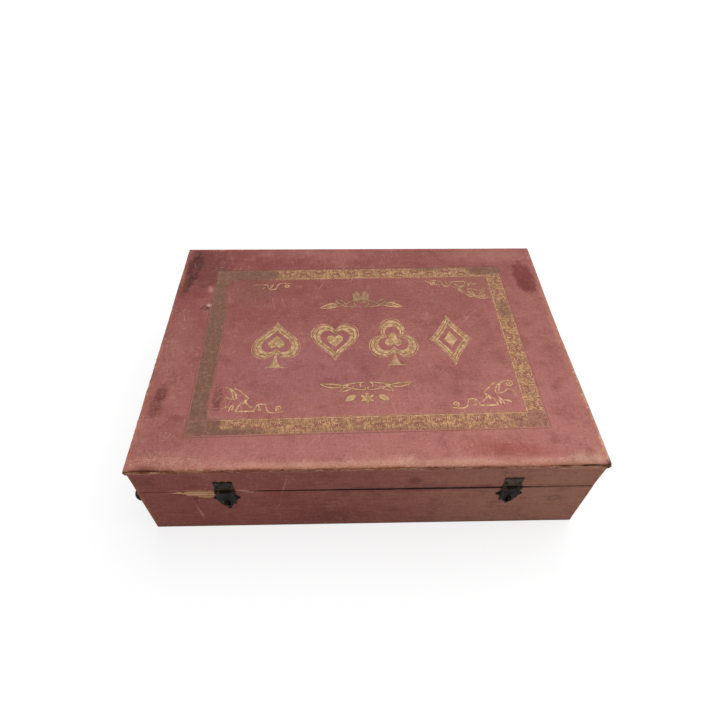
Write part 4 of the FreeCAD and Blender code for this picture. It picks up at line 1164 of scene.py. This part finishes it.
# depths are turned to the frame's heights once the profile has been carried round; into is 1 where the wall
# stands above its rim and -1 below. springs are the heights between which the corners spring, by how much at
# the right and left, and the share below
def sideCover(name, rim, far, into, body, finish, node, springs):
    endX, endY = sideX - wallCover["cornerRadius"], backY - wallCover["cornerRadius"]
    room = wallCover["hingeHalf"]
    overHinges = [(sign * hingeX - room, sign * hingeX + room, 2.5) for sign in (1, -1)]
    overTear = [(tear["fromX"] - 1, tear["toX"] + 1, wallCover["fine"])]
    frontRun = stations(-endX, endX, wallCover["medium"], overTear)
    backRun = stations(-endX, endX, wallCover["coarse"], overHinges)
    sideRun = stations(-endY, endY, wallCover["coarse"])
    reach = abs(rim - far)
    innerInset = sideX - limits("base_lining", 0)[1] + wallCover["liningGap"]
    profile = wallProfile(reach, innerInset)
    runs = (frontRun, sideRun, backRun, sideRun)
    grid = carryRound(profile, runs, sideX, backY, 0.0, wallCover["cornerRadius"])
    depth = grid[..., 2].copy()
    grid[..., 2] = rim + into * depth
    faces = gridQuads(*grid.shape[:2], True)
    middle = grid.reshape(-1, 3)[faces].mean(axis=2)
    deep = depth.reshape(-1)[faces].mean(axis=2)
    cut = tornAway(middle)
    overHinge = np.abs(np.abs(middle[..., 0]) - hingeX) < room
    cut |= overHinge & (middle[..., 1] > backY - wallCover["leafDepth"]) & (deep < wallCover["barrelRoom"])
    faces = faces[~cut]
    # the outside bulges, most away from the rim
    face = np.array([1.0 if inset == 0 else 0.0 for inset, h in profile])[:, None]
    push = (clothBulge(grid) - wallCover["sunk"]) * face * ramp(depth, 0.5, 4.0)
    out = np.where(np.abs(grid[..., :2]) >= (sideX - 0.01, backY - 0.01), np.sign(grid[..., :2]), 0)
    grid[..., :2] += out * push[..., None]
    if into > 0:
        lapOver(grid, ramp(depth, reach - 1.5, reach))
    # the corners have sprung, most at the top and not at all inside
    outer = np.array([1 - min(inset / innerInset, 1.0) for inset, h in profile])[:, None]
    heights, reaches, least = springs
    high = ramp(grid[..., 2], *heights) * outer
    sprung = grid.copy()
    spring(sprung, *reaches)
    grid[..., 0] += (sprung - grid)[..., 0] * (least + (1 - least) * high) * outer
    turned = faces if into > 0 else faces[:, ::-1]
    piece = addPiece(name, grid, turned[:, ::-1].tolist(), body, finish, [node])
    thicken(piece, wallCover["cloth"])


sideCover("baseCover", baseRim, baseLow, -1, "base", "baseCloth", "base_cloth",
          ((0, baseRim), (1.4, 0.9), 0.3))
sideCover("lidSideCover", lidRim, lipZ + 0.5, 1, "lid", "lidSideCloth", "lid_side_cloth",
          ((lidRim, lidHigh), (2.9, 0.7), 0.48))


# clasps: blackened plates with bevelled, beaten faces. Heights are from the hasp's pin, out is from the case
claspPlate = dict(halfWidth=8.6, low=1.8, high=14.0, waist=0.5, lobe=1.2, lobeHalf=3.1, sheet=1.0, bevel=0.7,
                  ridge=0.16)
hasp = dict(top=-1.8, halfTop=8.5, halfWide=8.9, wideAt=-12.0, neckHalf=1.3, neckAt=-26.05, bow=1.3,
            tip=-29.8, finial=2.1, slotHalf=2.2, slotTop=-12.3, slotFull=-16.7, slotLow=-22.6, backOut=1.2,
            sheet=1.0, bevel=0.7, ridge=0.2, boss=0.35)
# the right one has lost its ball
bluntTip = dict(neckHalf=2.0, neckAt=-24.7, tip=-27.2, finial=1.9)
# halves are a keeper's half widths, without its ears, at drops below the pin
keeper = dict(top=-5.0, low=-24.0, drops=(5.0, 8.6, 15.6, 19.4, 24.0), halves=(7.4, 8.4, 7.0, 4.2, 0.3),
              earRoot=7.0, earHalf=12.2, earAt=-12.2, earTall=3.6, sheet=0.8, bevel=0.6, ridge=0.1)
barrel = dict(radius=1.5, bore=0.62, out=1.8, half=8.6, middleHalf=4.0, gap=0.3, round=0.3)
pinZ = sum(limits("right_clasp_pin", 2)) / 2
claspFinish = {"left_clasp_plate": "blackIron", "right_clasp_plate": "brownedIron"}


# points of a plate's two faces on one grid: each row runs over the front and back again over the back
def bothFaces(x, z, out, back):
    front = np.stack([x, out, z], axis=-1)
    rear = np.stack([x, np.broadcast_to(back, x.shape), z], axis=-1)[:, ::-1]
    return np.concatenate([front, rear], axis=1)


# a closed plate from such a grid. Rows whose inner border lies on the middle line have no wall there, so that
# two halves join
def addPlate(name, x, z, out, back, body, node, walled=None, mirror=False, extra=()):
    rows, columns = x.shape
    ring = 2 * columns
    points = bothFaces(x, z, out, back)
    quads = gridQuads(rows, ring, True)
    keep = np.ones(quads.shape[:2], bool)
    if walled is not None:
        keep[:, -1] = walled[:-1] | walled[1:]
    j = np.arange(columns - 1)
    cap = np.stack([j, j + 1, ring - 2 - j, ring - 1 - j], axis=-1)
    faces = np.concatenate([quads[keep], cap, cap[:, ::-1] + (rows - 1) * ring])
    parts = [(points, faces)]
    if mirror:
        parts.append((points * (-1, 1, 1), faces))
    parts += extra
    middleX = sum(limits(node.split("_")[0] + "_clasp_plate", 0)) / 2
    allPoints, allFaces, start = [], [], 0
    for points, faces in parts:
        # out of the case is towards -y
        placed = points.reshape(-1, 3) * (1, -1, 1) + (middleX, frontY, pinZ)
        allPoints.append(placed)
        allFaces += (faces.reshape(-1, 4) + start).tolist()
        start += len(placed)
    finish = claspFinish.get(node, "darkIron")
    piece = addPiece(name, np.concatenate(allPoints), allFaces, body, finish, [node],
                     recalculate=True)
    piece.data.set_sharp_from_angle(angle=math.radians(50))


# face of a beaten plate: full thickness inside, falling off towards the border, with a low ridge along it
def beaten(sheet, bevel, ridge, edge, x, z, seed):
    flat = np.stack([x, z, np.zeros_like(x)], axis=-1)
    hammer = 0.09 * lumps(flat, 2.6, seed) + 0.06 * lumps(flat, 1.1, seed + 1)
    line = ridge * np.exp(-((edge - 1.9 * bevel) / 0.35) ** 2)
    return sheet * (0.35 + 0.65 * ramp(edge, 0, bevel)) + (line + hammer) * ramp(edge, 0, bevel)


# a knuckle: a short tube about the pin, its outer rims rounded; a ring of points for each place along it
def knuckle(start, end):
    r, e, o = barrel["radius"], barrel["round"], barrel["bore"]
    profile = np.array([(start, o), (start, r - e), (start + 0.3 * e, r - 0.3 * e), (start + e, r),
                        (end - e, r), (end - 0.3 * e, r - 0.3 * e), (end, r - e), (end, o), (start, o)])
    angle = np.linspace(0, 2 * math.pi, 24, endpoint=False)
    x = np.repeat(profile[:, :1], len(angle), axis=1)
    away = profile[:, 1:]
    points = np.stack([x, barrel["out"] + away * np.cos(angle), away * np.sin(angle)], axis=-1)
    return points, gridQuads(len(profile), len(angle), True)


def addClaspPlates():
    inner = barrel["middleHalf"] + barrel["gap"]
    p = claspPlate
    s, t = np.meshgrid(np.linspace(-1, 1, 61), np.linspace(0, 1, 33))
    x = s * p["halfWidth"]
    # the top edge has three lobes, each a parabola
    side = (p["lobeHalf"] + p["halfWidth"]) / 2
    span = (p["halfWidth"] - p["lobeHalf"]) / 2
    lobes = np.where(np.abs(x) < p["lobeHalf"], 1 - (x / p["lobeHalf"]) ** 2,
                     1 - ((np.abs(x) - side) / span) ** 2)
    top = p["high"] + p["lobe"] * lobes
    z = p["low"] + t * (top - p["low"])
    x = x * (1 - p["waist"] / p["halfWidth"] * np.sin(t * math.pi) ** 2)
    x = x - 0.3 * s * np.abs(lumps(np.stack([np.sign(s) * 3, z, 0 * z], axis=-1), 2.0, 63))
    edge = np.minimum(np.minimum((1 - np.abs(s)) * p["halfWidth"], top - z), (z - p["low"]) * 2 + 0.3)
    face = beaten(p["sheet"], p["bevel"], p["ridge"], edge, x, z, 61)
    # tongues that run down from the plate into the knuckles at either hand
    tongues = []
    for sign in (-1, 1):
        u, v = np.meshgrid(np.linspace(inner, p["halfWidth"], 7), np.linspace(0.0, p["low"] + 0.4, 5))
        points = bothFaces(sign * u, v, 1.0 + 0.9 * (1 - v / p["low"]).clip(0, 1), 0.05)
        tongues.append((points, gridQuads(*points.shape[:2], True)))
    for hand in ("left", "right"):
        ends = [knuckle(inner, barrel["half"]), knuckle(-barrel["half"], -inner)]
        addPlate(hand + "ClaspPlate", x, z, face, 0.03, "lid", hand + "_clasp_plate", extra=ends + tongues)


def addKeeperPlates():
    k = keeper
    s, t = np.meshgrid(np.linspace(-1, 1, 41), np.linspace(0, 1, 49))
    z = k["top"] + t * (k["low"] - k["top"])
    half = np.interp(-z, k["drops"], k["halves"])
    # an ear at each hand, the root of a parabola, a little blunted
    lobe = np.clip(1 - np.abs(z - k["earAt"]) / k["earTall"], 0, 1) ** 0.5
    half = np.maximum(half, k["earRoot"] + (k["earHalf"] - k["earRoot"]) * lobe)
    half = half + 0.22 * lumps(np.stack([np.sign(s) * 3, z, 0 * z], axis=-1), 1.6, 73) * (lobe < 0.9)
    x = s * half
    edge = np.minimum((half - np.abs(x)) * 0.8, np.minimum(k["top"] - z, (z - k["low"]) * 0.7))
    face = beaten(k["sheet"], k["bevel"], k["ridge"], edge, x, z, 71)
    for hand in ("left", "right"):
        addPlate(hand + "KeeperPlate", x, z, face, 0.03, "base", hand + "_keeper_plate")


# a hasp: a shield with a slot and a ball at its tip, one half of it mirrored
def addHasp(hand, h):
    drop = np.concatenate([np.linspace(h["top"], h["slotTop"], 20)[:-1],
                           np.linspace(h["slotTop"], h["slotLow"], 36)[:-1],
                           np.linspace(h["slotLow"], h["neckAt"], 12)[:-1],
                           np.linspace(h["neckAt"], h["tip"], 14)])
    share = np.clip((drop - h["wideAt"]) / (h["neckAt"] - h["wideAt"]), 0, 1)
    taper = h["halfWide"] + (h["neckHalf"] - h["halfWide"]) * share + h["bow"] * 4 * share * (1 - share)
    upper = np.interp(-drop, [-h["top"], -h["wideAt"]], [h["halfTop"], h["halfWide"]])
    finialAt = h["tip"] + h["finial"]
    ball = np.sqrt(np.maximum(h["finial"] ** 2 - (drop - finialAt) ** 2, 0.04))
    outer = np.where(drop > h["wideAt"], upper, np.where(drop > h["neckAt"], taper, ball))
    worn = np.abs(lumps(np.stack([drop, 0 * drop, 0 * drop], axis=-1), 1.8, 83))
    outer = outer - 0.35 * worn * (drop > h["neckAt"])
    # the slot: a pointed arch above, straight sides, and a half round below
    arch = np.sin(np.clip((h["slotTop"] - drop) / (h["slotTop"] - h["slotFull"]), 0, 1) * math.pi / 2) ** 0.9
    below = np.clip(h["slotLow"] + h["slotHalf"] - drop, 0, None) / h["slotHalf"]
    bowl = np.sqrt(np.clip(1 - below ** 2, 0, 1))
    slot = h["slotHalf"] * np.minimum(arch, bowl)
    slot[(drop >= h["slotTop"] - 1e-6) | (drop <= h["slotLow"] + 1e-6)] = 0.0
    s = np.linspace(0, 1, 25)[None]
    x = slot[:, None] + s * (outer - slot)[:, None]
    z = np.repeat(drop[:, None], s.size, axis=1)
    past = np.maximum(np.maximum(z - h["slotTop"], h["slotLow"] - z), 0)
    away = np.hypot(np.maximum(x - slot[:, None], 0), past)
    edge = np.minimum(outer[:, None] - x, np.minimum((h["top"] - z) * 2 + 0.2, (z - h["tip"]) * 0.8))
    edge = np.minimum(edge, away + 0.12)
    face = h["backOut"] + beaten(h["sheet"], h["bevel"], h["ridge"], edge, x, z, 81)
    face += h["boss"] * np.exp(-((away - 1.6) / 0.9) ** 2) * ramp(outer[:, None] - x, 0.2, 1.2)
    u, v = np.meshgrid(np.linspace(-barrel["middleHalf"], barrel["middleHalf"], 9),
                       np.linspace(0.0, h["top"] - 0.4, 5))
    tongue = bothFaces(u, v, 2.2 + 0.8 * (1 - v / h["top"]).clip(0, 1), h["backOut"])
    tube = knuckle(-barrel["middleHalf"], barrel["middleHalf"])
    extra = [tube, (tongue, gridQuads(*tongue.shape[:2], True))]
    node = hand + "_hasp"
    addPlate(hand + "HaspFlap", x, z, face, h["backOut"], node, node, slot > 0, True, extra)


addClaspPlates()
addKeeperPlates()
addHasp("left", hasp)
addHasp("right", {**hasp, **bluntTip})


# frayed threads: bent hairs of cotton that have come loose along the edges of the lid. Each follows a curve
# from a root on the edge, a little along it and a little outwards, and hangs or curls. Its section has three
# sides
threads = dict(count=1500, radius=0.27, shortest=1.2, longest=4.4, steps=6, seed=5)


def addThreads():
    random = np.random.default_rng(threads["seed"])
    count = threads["count"]
    halfX, halfY = lidSideX - 0.3, lidHalf[1] - 0.3
    # most of the fraying is along the front, above all near its corners
    along = np.where(random.random(count) < 0.75, random.uniform(-1, 1, count),
                     np.sign(random.uniform(-1, 0.6, count)) * (1 - 0.35 * random.random(count) ** 1.6))
    onFront = random.random(count) < 0.8
    sign = np.where(random.random(count) < 0.65, -1, 1)
    root = np.where(onFront[:, None], np.stack([along * halfX, np.full(count, lidMidY - halfY)], axis=-1),
                    np.stack([sign * halfX, lidMidY - np.abs(along) * halfY], axis=-1))
    tangent = np.where(onFront[:, None], (1.0, 0.0), (0.0, 1.0))
    outward = np.where(onFront[:, None], (0.0, -1.0), np.stack([sign, 0 * sign], axis=-1))
    z = lipZ + random.uniform(-0.7, 1.5, count)
    length = random.uniform(threads["shortest"], threads["longest"], count)
    lean = random.choice((-1, 1), count) * random.uniform(0.5, 1, count)
    curl = random.uniform(-0.9, 0.9, count)
    t = np.linspace(0, 1, threads["steps"])
    run = length[:, None] * t
    side = run * lean[:, None] + curl[:, None] * length[:, None] * t ** 2 * 0.5
    off = 0.5 * np.sin(t * math.pi * 0.8) * random.uniform(0.2, 1.0, count)[:, None] + 0.3
    drop = random.uniform(-0.2, 0.25, count)[:, None] * run * t
    side = np.where(np.abs(along)[:, None] > 0.96, side * 0.3, side)
    flat = root[:, None] + tangent[:, None] * side[..., None] + outward[:, None] * off[..., None]
    path = np.concatenate([flat, (z[:, None] - drop)[..., None]], axis=-1)
    angle = np.array((0, 2, 4)) * math.pi / 3
    ring = np.stack([np.zeros(3), np.cos(angle), np.sin(angle)], axis=-1)
    ring = np.where(onFront[:, None, None], ring, ring[:, (1, 0, 2)])
    thick = threads["radius"] * (1 - 0.6 * t)
    points = path[:, :, None] + ring[:, None] * thick[None, :, None, None]
    spring(points, *lidCover["springs"])
    faces = tubeFaces(points, capped=True)
    addPiece("frayedThreads", points, faces, "lid", "cottonThread", recalculate=True)


addThreads()


# camera at the photograph's viewpoint: place in millimetres, heading and tilt in degrees, picture 720 wide
cameraView = dict(place=(-17.55, -381.4, 496.8), heading=2.2, tilt=48.11, roll=1.1, focalPixels=546.0,
                  pictureWidth=720.0, sensor=36.0)


def addCamera():
    data = bpy.data.cameras.new("camera")
    data.sensor_width = cameraView["sensor"]
    data.lens = cameraView["focalPixels"] / cameraView["pictureWidth"] * cameraView["sensor"]
    data.clip_start = 0.01
    camera = addObject("camera", data)
    heading = Matrix.Rotation(math.radians(-cameraView["heading"]), 4, "Z")
    tilt = Matrix.Rotation(math.radians(90 - cameraView["tilt"]), 4, "X")
    roll = Matrix.Rotation(math.radians(cameraView["roll"]), 4, "Z")
    place = Matrix.Translation([c * mm for c in cameraView["place"]])
    camera.matrix_world = place @ heading @ tilt @ roll
    bpy.context.scene.camera = camera


# 1 for what the camera sees itself, in a mirror or through glass
def seenDirectly(tree):
    camera, glossy, through = [addNode(tree, "LightPath", {}, name) for name in
                               ("Is Camera Ray", "Is Glossy Ray", "Is Transmission Ray")]
    return calc(tree, "MAXIMUM", calc(tree, "MAXIMUM", camera, glossy), through)


# soft studio light: one wide lamp overhead and a little behind, and an even pale surround
studio = dict(lampStrength=2.05, lampAngle=70.0, lampFrom=(0.35, 0.30, 0.9), surround=0.36, floorSize=6.0,
              floorGlow=0.745)


def addStudio():
    lamp = bpy.data.lights.new("overhead lamp", "SUN")
    lamp.energy = studio["lampStrength"]
    lamp.angle = math.radians(studio["lampAngle"])
    shone = addObject("overhead lamp", lamp)
    x, y, z = studio["lampFrom"]
    shone.rotation_euler = (math.atan2(math.hypot(x, y), z), 0, math.atan2(y, x) + math.pi / 2)
    world = bpy.data.worlds.new("pale surround")
    bpy.context.scene.world = world
    world.use_nodes = True
    tree = world.node_tree
    tree.nodes.clear()
    seen = seenDirectly(tree)
    strength = respan(tree, seen, studio["surround"], 1.0)
    shine = addNode(tree, "Background", {"Color": (1, 1, 1, 1), "Strength": strength})
    output = tree.nodes.new("ShaderNodeOutputWorld")
    tree.links.new(shine, output.inputs[0])
    # the floor is paler to the eye than to the light that it sends back, so the box's front stays in shade
    material, tree, shader, place = startMaterial("matt white floor", Roughness=0.9, Specular_IOR_Level=0.0)
    seen = seenDirectly(tree)
    colour = lay(tree, seen, tint("#B9B7B4"), tint("#9A9A9A"))
    wire(tree, shader, colour)
    shader.inputs["Emission Color"].default_value = (1, 1, 1, 1)
    glow = calc(tree, "MULTIPLY", seen, studio["floorGlow"])
    tree.links.new(glow, shader.inputs["Emission Strength"])
    mesh = bpy.data.meshes.new("floor")
    half = studio["floorSize"] / 2
    corners = [(-half, -half, 0), (half, -half, 0), (half, half, 0), (-half, half, 0)]
    mesh.from_pydata(corners, [], [(0, 1, 2, 3)])
    mesh.materials.append(material)
    floor = addObject("floor", mesh)


addCamera()
addStudio()
bpy.context.scene.view_settings.view_transform = "Standard"
print("camera and studio ready")
